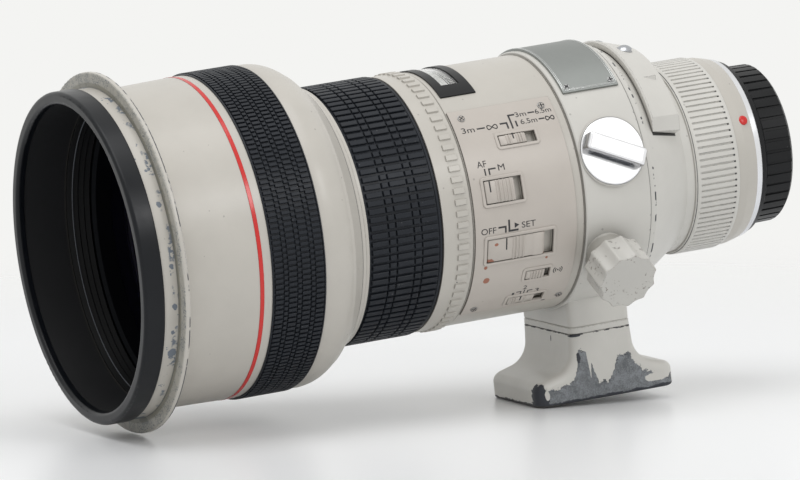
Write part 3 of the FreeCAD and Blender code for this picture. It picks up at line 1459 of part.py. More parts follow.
for side, angle in (("left", button_angle), ("right", 360 - button_angle)):
    name = "filter_button_" + side
    stem = rod(name + "_stem", (button_station, 0, stem_start), button_radius, button_top - stem_start)
    ball = doc.addObject("Part::Sphere", name + "_ball")
    bind(ball, "Radius", dome_curve)
    place(ball, (button_station, 0, button_top - dome_curve))
    skirt = rod(name + "_skirt", (button_station, 0, stem_start), button_radius,
                button_top - button_dome - stem_start)
    domed = common(name + "_domed", [stem, ball])
    node(name, group(name + "_set", [fuse(name + "_shape", [skirt, domed])], angle))

# Focusing group: a carriage that slides in the main tube, with its glass.
cell_length = size("focus_cell_length", 20.0)
cell_front = size("focus_cell_front_gap", 22.0)
cell_wall = size("focus_cell_wall", 4.0)
cell_lip = size("focus_cell_lip", 3.0)
cell_lip_depth = size("focus_cell_lip_depth", 2.0)
cell_radius = tube_bore_radius - running_gap
cell_start = tube_front + cell_front
node("focus_cell", turned("focus_cell_body", [
    (cell_start, cell_radius - cell_wall),
    (cell_start, cell_radius),
    (cell_start + cell_length, cell_radius),
    (cell_start + cell_length, cell_radius - cell_wall - cell_lip_depth),
    (cell_start + cell_length - cell_lip, cell_radius - cell_wall - cell_lip_depth),
    (cell_start + cell_length - cell_lip, cell_radius - cell_wall),
]))
focus_bulge = size("focus_glass_bulge", 4.0)
focus_edge = cell_length - cell_lip - focus_bulge * 2
focus_clear = cell_radius - cell_wall - cell_lip_depth
focus_glass_start = cell_start + focus_bulge * 2
glass("focus_glass", focus_glass_start, focus_edge, cell_radius - cell_wall, focus_clear, focus_bulge)

# Distance scale drum under the window, the iris unit at the rear and the motor midway between them.
scale_wall = size("scale_wall", 1.4)
scale_radius = tube_bore_radius - running_gap
node("distance_scale", turned("distance_scale_body", [
    (window_front, scale_radius - scale_wall),
    (window_front, scale_radius),
    (window_rear, scale_radius),
    (window_rear, scale_radius - scale_wall),
]))
iris_length = size("iris_length", 7.0)
iris_front = tube_rear - iris_length
stator_length = size("stator_length", 8.0)
rotor_length = size("rotor_length", 6.0)
motor_wall = size("motor_wall", 5.0)
motor_length = stator_length + side_gap + rotor_length
stator_front = (window_rear + iris_front - motor_length) / 2
node("motor_stator", turned("motor_stator_body", [
    (stator_front, tube_bore_radius - motor_wall),
    (stator_front, tube_bore_radius),
    (stator_front + stator_length, tube_bore_radius),
    (stator_front + stator_length, tube_bore_radius - motor_wall),
]))
rotor_front = stator_front + stator_length + side_gap
node("motor_rotor", turned("motor_rotor_body", [
    (rotor_front, tube_bore_radius - motor_wall),
    (rotor_front, tube_bore_radius - running_gap),
    (rotor_front + rotor_length, tube_bore_radius - running_gap),
    (rotor_front + rotor_length, tube_bore_radius - motor_wall),
]))
iris_width = size("iris_width", 16.6)
iris_bore = tube_bore_radius - iris_width
node("iris_housing", turned("iris_housing_body", [
    (iris_front, iris_bore),
    (iris_front, tube_bore_radius),
    (iris_front + iris_length, tube_bore_radius),
    (iris_front + iris_length, iris_bore),
]))

# Circuit board ring in front of the filter slot.
board_thickness = size("board_thickness", 1.6)
board_width = size("board_width", 10.6)
board_bore = tube_bore_radius - board_width
board_front = collar_rear - size("board_gap", 6.0)
node("circuit_board", turned("circuit_board_body", [
    (board_front, board_bore),
    (board_front, tube_bore_radius),
    (board_front + board_thickness, tube_bore_radius),
    (board_front + board_thickness, board_bore),
]))

doc.recompute()
faults = []
for thing in doc.Objects:
    if "Invalid" in thing.State or "Error" in thing.State:
        faults.append(thing.Name + " " + ",".join(thing.State))
for piece in pieces:
    if piece.Shape.isNull() or not piece.Shape.isValid() or not piece.Shape.Solids:
        faults.append(piece.Label + " has no sound shape")
if faults:
    raise RuntimeError("; ".join(faults))
os.makedirs("parts", exist_ok=True)
for piece in pieces:
    piece.Shape.exportStep("parts/" + piece.Label + ".step")
    print(piece.Label, len(piece.Shape.Solids), round(piece.Shape.Volume, 1))
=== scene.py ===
from math import asin, atan2, cos, degrees, hypot, pi, radians, sin

import bpy
from mathutils import Matrix, Vector


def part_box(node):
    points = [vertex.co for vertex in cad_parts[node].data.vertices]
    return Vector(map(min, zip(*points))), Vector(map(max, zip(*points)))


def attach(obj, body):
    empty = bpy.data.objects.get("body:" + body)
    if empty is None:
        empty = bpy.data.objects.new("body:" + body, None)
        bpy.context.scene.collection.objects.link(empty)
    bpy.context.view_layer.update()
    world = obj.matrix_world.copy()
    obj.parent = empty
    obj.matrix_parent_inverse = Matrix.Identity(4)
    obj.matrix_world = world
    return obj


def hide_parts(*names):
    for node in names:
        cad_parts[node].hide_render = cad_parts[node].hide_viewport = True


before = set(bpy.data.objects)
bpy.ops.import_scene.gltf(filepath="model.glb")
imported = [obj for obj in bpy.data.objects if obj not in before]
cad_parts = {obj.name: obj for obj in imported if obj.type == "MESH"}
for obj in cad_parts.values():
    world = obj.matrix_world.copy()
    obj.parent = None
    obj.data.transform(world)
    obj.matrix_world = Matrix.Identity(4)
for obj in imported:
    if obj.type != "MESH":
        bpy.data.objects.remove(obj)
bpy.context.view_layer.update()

bl_info = {
    "name": "Telephoto lens finishes",
    "version": (1, 0, 0),
    "blender": (4, 5, 0),
    "location": "View3D > Sidebar > Lens",
    "description": "Paint, rubber grips, marks and studio for a telephoto lens",
    "category": "Object",
}

MM = 0.001

# Angles are in degrees from straight down through the switch side, stations in mm along the axis.
PANEL_RADIUS = 46.4
HOLDER_TURN = 112.0
LUG_TURNS = {"left": 105.8, "right": 254.2}
KNOB_STATION = -69.75
KNOB_TURN = 61.0
SOLE_LEVEL = -78.4
LENS_MIDDLE = (-0.13, 0.0, 0.0)


def srgb(red, green, blue):
    """A colour given as 0 to 255, as the linear values that shaders use."""
    parts = [part / 255.0 for part in (red, green, blue)]
    return tuple(part / 12.92 if part <= 0.04045 else ((part + 0.055) / 1.055) ** 2.4 for part in parts)


def shade(colour, share):
    return [part * share for part in colour]


def opaque(colour, share=1.0):
    return (*shade(colour, share), 1.0)


def metres(place):
    return shade(place, MM)


def polar(station, angle, radius):
    """A point at a station along the axis, an angle counted from straight down and a radius."""
    turn = radians(angle)
    return (station, -radius * sin(turn), -radius * cos(turn))


def outward(angle):
    """Directions away from the axis, along it and round it."""
    out, along = Vector(polar(0.0, angle, 1.0)), Vector((1.0, 0.0, 0.0))
    return out, along, out.cross(along)


def box(node):
    """Lowest and highest corner of a CAD node at rest, in mm."""
    return [[part / MM for part in corner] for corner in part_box(node)]


def colour_property(name, description, *default):
    return bpy.props.FloatVectorProperty(name=name, description=description, subtype="COLOR", size=3,
                                         min=0.0, max=1.0, default=srgb(*default))


def number_property(name, description, default, kind):
    return bpy.props.FloatProperty(name=name, description=description, default=default, **kind)


def count_property(name, description, default):
    return bpy.props.IntProperty(name=name, description=description, min=20, default=default)


LENGTH = {"subtype": "DISTANCE", "unit": "LENGTH", "min": 0.0}
TURN = {"subtype": "ANGLE", "unit": "ROTATION"}
POWER = {"unit": "POWER"}
SHARE = {"subtype": "FACTOR", "min": 0.0, "max": 1.0}


class LensColours(bpy.types.PropertyGroup):
    """Colours of the finishes."""

    cream: colour_property("Cream paint", "Paint of the barrel", 191, 187, 179)
    panel: colour_property("Panel paint", "Paint of the switch panel", 189, 182, 174)
    collar: colour_property("Collar paint", "Paint of the collar, foot and knob", 205, 203, 197)
    red: colour_property("Red", "Stripe and index mark", 202, 38, 34)
    rubber: colour_property("Rubber", "Grips and front rim", 16, 19, 24)
    black: colour_property("Black plastic", "Rear cap and inner plastic", 17, 18, 20)
    bare_metal: colour_property("Bare metal", "Casting where the paint is gone", 134, 138, 142)
    chip: colour_property("Chip", "Old chips of the hood ring", 112, 120, 130)
    rust: colour_property("Brown chips", "Undercoat at the chips of the switches and knob", 156, 104, 84)
    primer: colour_property("Dark primer", "Dark layer at the edges of chips", 48, 51, 58)
    ink: colour_property("Mark ink", "Printed marks", 38, 38, 40)
    floor: colour_property("Floor", "Studio floor", 241, 242, 243)
    backdrop: colour_property("Backdrop", "Colour seen behind the lens", 244, 244, 242)


class LensGrips(bpy.types.PropertyGroup):
    """Counts and sizes of the rubber grips."""

    front_rows: count_property("Front rows", "Rows of ribs round the front grip", 186)
    focus_rows: count_property("Focus rows", "Rows of ribs round the focus ring", 100)
    rib_bevel: number_property("Rib bevel", "Bevel along the edges of the ribs", 0.12 * MM, LENGTH)
    gap: number_property("Rib gap", "Gap between ribs in one row", 0.35 * MM, LENGTH)


class LensStage(bpy.types.PropertyGroup):
    """Camera and lights."""

    azimuth: number_property("Azimuth", "Camera angle round the lens", -0.412, TURN)
    elevation: number_property("Elevation", "Camera angle above the optical axis", 0.148, TURN)
    roll: number_property("Roll", "Camera turn about its own view", -0.108, TURN)
    place: bpy.props.FloatVectorProperty(
        name="Camera place", description="Where the camera stands", subtype="TRANSLATION", unit="LENGTH",
        size=3, default=(-1.3438, -2.7777, 0.4390))
    focal_length: bpy.props.FloatProperty(
        name="Focal length", description="Millimetres on a 36 mm wide sensor", min=1.0, default=388.3)
    sky: number_property("Sky strength", "Light from all round", 0.68, SHARE)
    key: number_property("Key lamp", "Power of the lamp above", 7.0, POWER)
    side: number_property("Side lamp", "Power of the softbox beside the camera", 2.2, POWER)


def colours():
    return bpy.context.scene.lens_colours


class Graph:
    """Adds nodes to a material or a group and joins their sockets."""

    def __init__(self, tree):
        self.tree = tree

    def put(self, value, socket):
        if isinstance(value, bpy.types.NodeSocket):
            self.tree.links.new(value, socket)
        elif value is not None:
            socket.default_value = value

    def add(self, kind, sockets=None, **settings):
        node = self.tree.nodes.new("ShaderNode" + kind)
        for key, value in settings.items():
            setattr(node, key, value)
        for key, value in (sockets or {}).items():
            self.put(value, node.inputs[key])
        return node

    def math(self, operation, first, second=None, clamp=False):
        return self.add("Math", {0: first, 1: second}, operation=operation, use_clamp=clamp).outputs[0]

    def times(self, first, *others):
        for other in others:
            first = self.math("MULTIPLY", first, other)
        return first

    def plus(self, first, second):
        return self.math("ADD", first, second)

    def minus(self, first, second):
        return self.math("SUBTRACT", first, second)

    def rest(self, share):
        """What a share leaves of 1."""
        return self.minus(1.0, share)

    def vector(self, operation, first, second=None):
        node = self.add("VectorMath", {0: first, 1: second}, operation=operation)
        return node.outputs["Value" if operation in ("DOT_PRODUCT", "LENGTH") else "Vector"]

    def step(self, value, low, high):
        """0 below low, 1 above high and smooth between."""
        return self.add("MapRange", {"Value": value, "From Min": low, "From Max": high},
                        interpolation_type="SMOOTHSTEP").outputs["Result"]

    def fit(self, value, low, high):
        """Spreads 0 to 1 over low to high."""
        return self.add("MapRange", {"Value": value, "To Min": low, "To Max": high}).outputs["Result"]

    def mix(self, factor, first, second):
        return self.add("Mix", {0: factor, 6: first, 7: second}, data_type="RGBA").outputs[2]

    def spot(self):
        """Place on the piece, in metres."""
        return self.add("TexCoord").outputs["Object"]

    def parts(self, vector):
        return self.add("SeparateXYZ", {"Vector": vector}).outputs

    def true_normal(self):
        return self.add("NewGeometry").outputs["True Normal"]

    def shelter(self, distance):
        """0 in deep corners and 1 in the open."""
        return self.add("AmbientOcclusion", {"Distance": distance}).outputs["AO"]

    def noise(self, scale, detail=2.0, roughness=0.5, factors=None):
        """Noise in metres, stretched by the factors."""
        place = self.vector("MULTIPLY", self.spot(), factors) if factors else self.spot()
        return self.add("TexNoise", {"Vector": place, "Scale": scale, "Detail": detail,
                                     "Roughness": roughness}).outputs["Fac"]

    def radius(self):
        """Distance from the optical axis."""
        _, y, z = self.parts(self.spot())
        return self.math("SQRT", self.plus(self.times(y, y), self.times(z, z)))

    def inside(self, value, low, high, soft):
        """1 between low and high."""
        rise = self.step(value, low - soft, low + soft)
        return self.times(rise, self.rest(self.step(value, high - soft, high + soft)))

    def curve(self, value, points):
        """A line through points of 0 to 1."""
        node = self.add("FloatCurve", {"Value": value})
        line = node.mapping.curves[0]
        while len(line.points) < len(points):
            line.points.new(0.5, 0.5)
        for point, place in zip(line.points, points):
            point.location = place
            point.handle_type = "VECTOR"
        node.mapping.update()
        return node.outputs["Value"]

    def effect(self, name, **sockets):
        """Places one of the shared node groups."""
        node = self.add("Group")
        node.node_tree = bpy.data.node_groups[name]
        for key, value in sockets.items():
            self.put(value, node.inputs[key.capitalize()])
        return node.outputs


def new_effect(name, outputs, **inputs):
    """An empty node group with its named sockets."""
    tree = bpy.data.node_groups.new(name, "ShaderNodeTree")
    for label, default in inputs.items():
        kind = "NodeSocketVector" if isinstance(default, tuple) else "NodeSocketFloat"
        tree.interface.new_socket(label, in_out="INPUT", socket_type=kind).default_value = default
    for label in outputs:
        tree.interface.new_socket(label, in_out="OUTPUT", socket_type="NodeSocketFloat")
    start, end = tree.nodes.new("NodeGroupInput"), tree.nodes.new("NodeGroupOutput")
    return Graph(tree), start.outputs, end.inputs


def build_edge_chips():
    """Chips: where an edge has lost its paint."""
    graph, given, out = new_effect("Edge chips", ["Chips"], Width=0.8 * MM, Amount=0.3, Size=900.0)
    bevel = graph.add("Bevel", {"Radius": given["Width"]}, samples=6)
    facing = graph.vector("DOT_PRODUCT", bevel.outputs[0], graph.true_normal())
    edge = graph.math("MULTIPLY", graph.rest(facing), 4.5, clamp=True)
    level = graph.plus(graph.noise(given["Size"], 4.0, 0.65), graph.times(edge, 0.5))
    limit = graph.minus(1.08, graph.times(given["Amount"], 0.4))
    graph.put(graph.step(graph.minus(level, limit), 0.0, 0.02), out["Chips"])


def build_paint_skin():
    """Height: the orange peel of sprayed paint. Tint and Gloss: slow changes over the surface."""
    graph, given, out = new_effect("Paint skin", ["Height", "Tint", "Gloss"], Grain=1400.0, Mottle=45.0)
    fine = graph.noise(graph.times(given["Grain"], 3.1), 1.0)
    graph.put(graph.plus(graph.noise(given["Grain"]), graph.times(fine, 0.35)), out["Height"])
    graph.put(graph.noise(given["Mottle"], 4.0, 0.6), out["Tint"])
    graph.put(graph.noise(graph.times(given["Mottle"], 2.3), 3.0, 0.6), out["Gloss"])


def build_specks():
    """Small round marks scattered at random, such as dirt, pits or dust."""
    graph, given, out = new_effect("Specks", ["Marks"], Scale=300.0, Share=0.1, Radius=0.25)
    cells = graph.add("TexVoronoi", {"Vector": graph.spot(), "Scale": given["Scale"]})
    pick = graph.add("SeparateColor", {"Color": cells.outputs["Color"]}).outputs[0]
    chosen = graph.math("LESS_THAN", pick, given["Share"])
    size = graph.times(given["Radius"], graph.noise(graph.times(given["Scale"], 0.9)))
    near = graph.step(graph.minus(size, cells.outputs["Distance"]), 0.0, 0.05)
    graph.put(graph.times(chosen, near), out["Marks"])


def build_scratches():
    """Thin short lines along the barrel and round it."""
    graph, given, out = new_effect("Scratches", ["Lines"], Amount=0.3)
    limit = graph.minus(0.78, graph.times(given["Amount"], 0.14))
    along, across = [
        graph.step(graph.minus(graph.noise(60.0, 3.0, 0.7, factors), limit), 0.0, 0.03)
        for factors in ((0.25, 14.0, 14.0), (16.0, 0.4, 0.4))]
    where = graph.step(graph.noise(70.0, 3.0, 0.6), 0.45, 0.62)
    graph.put(graph.times(graph.math("MAXIMUM", along, across), where), out["Lines"])


def build_patch():
    """A ragged patch about a point, such as a worn corner."""
    graph, given, out = new_effect("Patch", ["Inside"], Centre=(0.0, 0.0, 0.0), Reach=(0.01, 0.01, 0.01),
                                   Size=300.0, Ragged=0.6)
    away = graph.vector("SUBTRACT", graph.spot(), given["Centre"])
    length = graph.vector("LENGTH", graph.vector("DIVIDE", away, given["Reach"]))
    grit = graph.minus(graph.noise(given["Size"], 4.0, 0.6), 0.5)
    edge = graph.plus(length, graph.times(grit, given["Ragged"]))
    graph.put(graph.rest(graph.step(edge, 0.97, 1.03)), out["Inside"])


def build_lathe_lines():
    """Fine turned lines round the axis."""
    graph, given, out = new_effect("Lathe lines", ["Height"], Pitch=0.4 * MM)
    turns = graph.math("DIVIDE", graph.parts(graph.spot())["X"], given["Pitch"])
    wave = graph.math("SINE", graph.times(turns, 2 * pi))
    graph.put(graph.plus(graph.times(wave, 0.5), 0.5), out["Height"])


def build_inner_side():
    """Mask: surfaces that face the optical axis, which are blackened."""
    graph, _, out = new_effect("Inner side", ["Mask"])
    _, y, z = graph.parts(graph.spot())
    away = graph.vector("NORMALIZE", graph.add("CombineXYZ", {"Y": y, "Z": z}).outputs[0])
    facing = graph.vector("DOT_PRODUCT", away, graph.true_normal())
    graph.put(graph.math("LESS_THAN", facing, -0.5), out["Mask"])


EFFECTS = (build_inner_side, build_edge_chips, build_paint_skin, build_specks, build_scratches, build_patch,
           build_lathe_lines)


class Finish(Graph):
    """One material: its graph, its Principled shader and helpers for both."""

    def __init__(self, name, **sockets):
        self.material = bpy.data.materials.new(name)
        self.material.use_nodes = True
        bpy.context.scene["finish_" + name] = self.material.name
        super().__init__(self.material.node_tree)
        self.shader = self.tree.nodes["Principled BSDF"]
        for key, value in sockets.items():
            self.set(key.replace("_", " "), value)

    def set(self, key, value):
        self.put(value, self.shader.inputs[key])

    def bump(self, height, distance, strength=1.0, soften=0.3 * MM):
        """Bumps the surface, over edges that are slightly rounded."""
        edge = self.add("Bevel", {"Radius": soften}, samples=4).outputs[0]
        self.set("Normal", self.add("Bump", {"Height": height, "Distance": distance, "Strength": strength,
                                             "Normal": edge}).outputs["Normal"])


class Painted(Finish):
    """Sprayed paint with its peel, dirt and scratches, blackened where it faces the axis, and darkened as
    painted shade in its corners.
    """

    # corner is how far the painted shade in corners reaches.
    def __init__(self, name, colour, roughness=0.32, dirt=0.05, scratches=0.2, grain=1400.0, peel=0.7,
                 black_inside=True, corner=1.8 * MM):
        super().__init__(name)
        self.black_inside = black_inside
        self.corner = corner
        self.roughness = roughness
        self.peel = peel
        self.skin = self.effect("Paint skin", grain=grain)
        mottle = self.step(self.skin["Tint"], 0.3, 0.7)
        self.base = self.mix(mottle, opaque(colour, 0.965), opaque(colour, 1.02))
        specks = self.effect("Specks", scale=420.0, share=dirt, radius=0.3)["Marks"]
        self.stain(specks, shade(colour, 0.35), 0.45)
        self.stain(self.effect("Scratches", amount=scratches)["Lines"], shade(colour, 0.55), 0.22)
        self.bare = 0.0

    def stain(self, mask, colour, strength=None):
        """Colours the paint inside a mask."""
        if strength:
            mask = self.times(mask, strength)
        self.base = self.mix(mask, self.base, opaque(colour))

    def chip(self, mask, colour):
        """Takes the paint away inside a mask."""
        self.stain(mask, colour)
        self.bare = self.math("MAXIMUM", self.bare, mask)

    def worn_edges(self, width, amount, size, colour):
        self.chip(self.effect("Edge chips", width=width * MM, amount=amount, size=size)["Chips"], colour)

    def patch(self, centre, reach, size, ragged, colour):
        """A ragged chip about a point, in mm."""
        self.chip(self.effect("Patch", centre=metres(centre), reach=metres(reach), size=size,
                              ragged=ragged)["Inside"], colour)

    def band(self, start, end, soft=0.05):
        """1 between two stations along the axis, in mm."""
        return self.inside(self.parts(self.spot())["X"], start * MM, end * MM, soft * MM)

    def grit(self, size, low, high, factors=None):
        """Noise cut to ragged spots."""
        return self.step(self.noise(size, 4.0, 0.6, factors), low, high)

    def done(self):
        rough = self.fit(self.skin["Gloss"], self.roughness - 0.05, self.roughness + 0.07)
        rough = self.plus(rough, self.times(self.bare, 0.14))
        if self.black_inside:
            inner = self.effect("Inner side")["Mask"]
            self.stain(inner, srgb(17, 18, 20))
            rough = self.plus(rough, self.times(inner, 0.25))
        # Painted shade: darker where ambient occlusion within corner finds other surfaces, in corners,
        # recesses, joints and under parts.
        self.stain(self.rest(self.step(self.shelter(self.corner), 0.25, 0.85)), srgb(92, 88, 80), 0.5)
        self.set("Base Color", self.base)
        self.set("Roughness", rough)
        self.bump(self.minus(self.skin["Height"], self.times(self.bare, 2.2)), 0.02 * MM, self.peel)


def rubber(name, colour, roughness=0.5, dust=0.04, soften=0.15):
    """Moulded rubber with dust and slow changes of gloss."""
    finish = Finish(name, Specular_IOR_Level=0.26)
    skin = finish.effect("Paint skin", grain=2600.0, mottle=70.0)
    base = finish.mix(skin["Tint"], opaque(colour, 0.75), opaque(colour, 1.3))
    marks = finish.effect("Specks", scale=900.0, share=dust, radius=0.3)["Marks"]
    finish.set("Base Color", finish.mix(finish.times(marks, 0.35), base, opaque(srgb(150, 150, 148))))
    finish.set("Roughness", finish.fit(skin["Gloss"], roughness - 0.08, roughness + 0.1))
    finish.bump(skin["Height"], 0.015 * MM, 0.6, soften * MM)


def metal(name, colour, roughness, pitch=None, scuffs=0.2, soften=0.25, corner=None, face=None):
    """Metal with turned lines or a fine grain and light scuffs, with painted shade in corners and on sides
    turned away from its face.
    """
    finish = Finish(name, Metallic=1.0)
    skin = finish.effect("Paint skin", grain=3000.0, mottle=120.0)
    lines = finish.effect("Scratches", amount=scuffs)["Lines"]
    base = finish.mix(skin["Tint"], opaque(colour, 0.9), opaque(colour))
    base = finish.mix(finish.times(lines, 0.4), base, opaque(colour, 0.6))
    # Painted shade: darker where ambient occlusion within corner finds other surfaces, as a soft shadow in
    # corners and under parts.
    if corner:
        open_side = finish.step(finish.shelter(corner * MM), 0.3, 0.95)
        base = finish.mix(open_side, opaque(colour, 0.55), base)
    # Painted shade: darker on sides that turn away from the face's outward direction, as on the sides of the
    # lug's bar.
    if face:
        _, y, z = finish.parts(finish.add("TexCoord").outputs["Normal"])
        out = outward(face)[0]
        turned = finish.plus(finish.times(finish.math("ABSOLUTE", y), -out.y), finish.times(z, out.z))
        base = finish.mix(finish.step(turned, 0.3, 0.85), opaque(colour, 0.42), base)
    finish.set("Base Color", base)
    finish.set("Roughness", finish.fit(skin["Gloss"], roughness - 0.05, roughness + 0.1))
    height = skin["Height"]
    if pitch:
        turned = finish.effect("Lathe lines", pitch=pitch * MM)["Height"]
        height = finish.plus(finish.times(height, 0.3), turned)
    finish.bump(height, 0.008 * MM, 0.5, soften * MM)


def ink(name, *colour):
    """Printed or filled marks, slightly worn; also the flat colours of the painted shade rings in the joints
    and the painted highlight ring at the front mouth.
    """
    finish = Finish(name)
    wear = finish.step(finish.noise(2600.0, 3.0, 0.6), 0.35, 0.7)
    worn = [part * 1.5 + 0.01 for part in colour]
    finish.set("Base Color", finish.mix(wear, opaque(colour), opaque(worn)))
    finish.set("Roughness", finish.fit(wear, 0.45, 0.6))
    finish.bump(wear, 0.005 * MM, 0.4)


def shoulder_paint(tone):
    """Paint of the shoulder, with the thin black joint before its lip."""
    finish = Painted("shoulder_paint", tone.cream)
    finish.chip(finish.band(-165.55, -165.32, 0.04), tone.primer)
    finish.done()


def flange_paint(tone):
    """Paint of the hood's flange, knocked about on its front face and along its step, with painted shade on
    its front face and a painted shadow at the foot of its step.
    """
    finish = Painted("flange_paint", tone.cream, dirt=0.2, scratches=0.5, grain=1100.0)
    brush = finish.times(finish.grit(90.0, 0.5, 0.56), finish.grit(620.0, 0.47, 0.5))
    finish.chip(finish.times(finish.band(-242.2, -240.0, 0.35), brush), tone.chip)
    finish.chip(finish.times(finish.band(-245.2, -240.2, 0.2), finish.grit(360.0, 0.665, 0.68)), tone.chip)
    finish.patch((-241.9, -12.0, -58.0), (2.4, 7.0, 3.0), 420.0, 0.9, tone.chip)
    for station, angle, reach in ((-242.0, 112.5, 0.9), (-241.8, 91.0, 0.8), (-241.6, 77.0, 1.0),
                                  (-242.2, 67.5, 0.7), (-242.0, 59.0, 1.6)):
        finish.patch(polar(station, angle, 58.9), (reach, reach * 1.3, reach * 1.3), 700.0, 1.6, tone.chip)
    # Painted shade: the front face of the flange is darkened; the stipple on it is wear.
    face = finish.times(finish.band(-240.3, -239.7, 0.1), finish.step(finish.radius(), 59.6 * MM, 60.2 * MM))
    finish.stain(face, srgb(168, 166, 156), 0.7)
    stipple = finish.times(finish.grit(1500.0, 0.5, 0.56), finish.grit(160.0, 0.42, 0.55))
    finish.chip(finish.times(face, stipple), srgb(118, 122, 124))
    # Painted shadow at the foot of the step between the band and the flange.
    step_shadow = finish.times(finish.band(-240.35, -239.75),
                                finish.rest(finish.step(finish.radius(), 59.9 * MM, 60.7 * MM)))
    finish.stain(step_shadow, srgb(118, 116, 102), 0.8)
    nicks = finish.times(finish.band(-238.5, -238.1, 0.08), finish.grit(150.0, 0.44, 0.5, (0.2, 1.0, 1.0)))
    finish.chip(nicks, tone.primer)
    finish.worn_edges(0.7, 0.42, 620.0, tone.chip)
    finish.done()


def panel_paint(tone):
    """Paint of the switch panel, with dark beds in the slots and a few brown knocks."""
    finish = Painted("panel_paint", tone.panel, roughness=0.34)
    finish.stain(finish.math("LESS_THAN", finish.radius(), 46.05 * MM), srgb(74, 70, 64))
    for station, angle, reach in ((-115.3, 55.4, 1.25), (-116.4, 62.6, 0.7), (-92.6, 62.7, 0.5)):
        finish.patch(polar(station, angle, PANEL_RADIUS), (reach, reach, reach), 900.0, 0.5, tone.rust)
    finish.patch(polar(-88.6, 33.4, PANEL_RADIUS), (0.9, 0.35, 0.25), 900.0, 0.8, tone.primer)
    finish.done()


def playback_paint(tone):
    """Paint of the playback ring, with two rows of dark ticks."""
    finish = Painted("playback_paint", tone.cream)
    ticks = finish.effect("Specks", scale=520.0, share=0.35, radius=0.4)["Marks"]
    finish.chip(finish.times(finish.band(-127.5, -126.6, 0.1), ticks), tone.primer)
    ticks = finish.times(ticks, finish.grit(90.0, 0.5, 0.55))
    finish.chip(finish.times(finish.band(-123.6, -122.9, 0.1), ticks), tone.primer)
    finish.done()


def rear_paint(tone):
    """Coarse paint of the rear barrel, with black dashes where the collar rubs its land, and a painted shadow
    under the filter holder's end.
    """
    finish = Painted("rear_paint", tone.collar, roughness=0.36, grain=900.0, peel=1.0)
    dashes = finish.grit(190.0, 0.53, 0.55, (0.35, 1.0, 1.0))
    finish.chip(finish.times(finish.band(-49.75, -49.15, 0.06), dashes), tone.primer)
    # Painted shadow: the cone is black just under the filter holder's low edge, in the gap there.
    _, y, z = finish.parts(finish.spot())
    turn = finish.math("ARCTAN2", finish.math("ABSOLUTE", y), finish.times(z, -1.0))
    gap = finish.inside(turn, radians(HOLDER_TURN - 1.5), radians(HOLDER_TURN + 1.0), 0.003)
    finish.chip(finish.times(gap, finish.band(-46.0, -33.6, 0.1)), srgb(30, 30, 31))
    finish.worn_edges(0.35, 0.3, 700.0, tone.primer)
    finish.done()


def ribbed_paint(tone):
    """Paint of the ribbed ring, worn to black at both ends of its grooves."""
    finish = Painted("ribbed_paint", tone.collar, roughness=0.36, dirt=0.12, scratches=0.5, corner=0.3 * MM)
    groove = finish.inside(finish.radius(), 33.9 * MM, 34.42 * MM, 0.03 * MM)
    ends = finish.math("MAXIMUM", finish.band(-27.3, -26.3, 0.1), finish.band(-12.2, -10.5, 0.1))
    finish.chip(finish.times(groove, ends, finish.grit(260.0, 0.34, 0.4)), tone.primer)
    finish.worn_edges(0.3, 0.25, 600.0, tone.chip)
    finish.done()


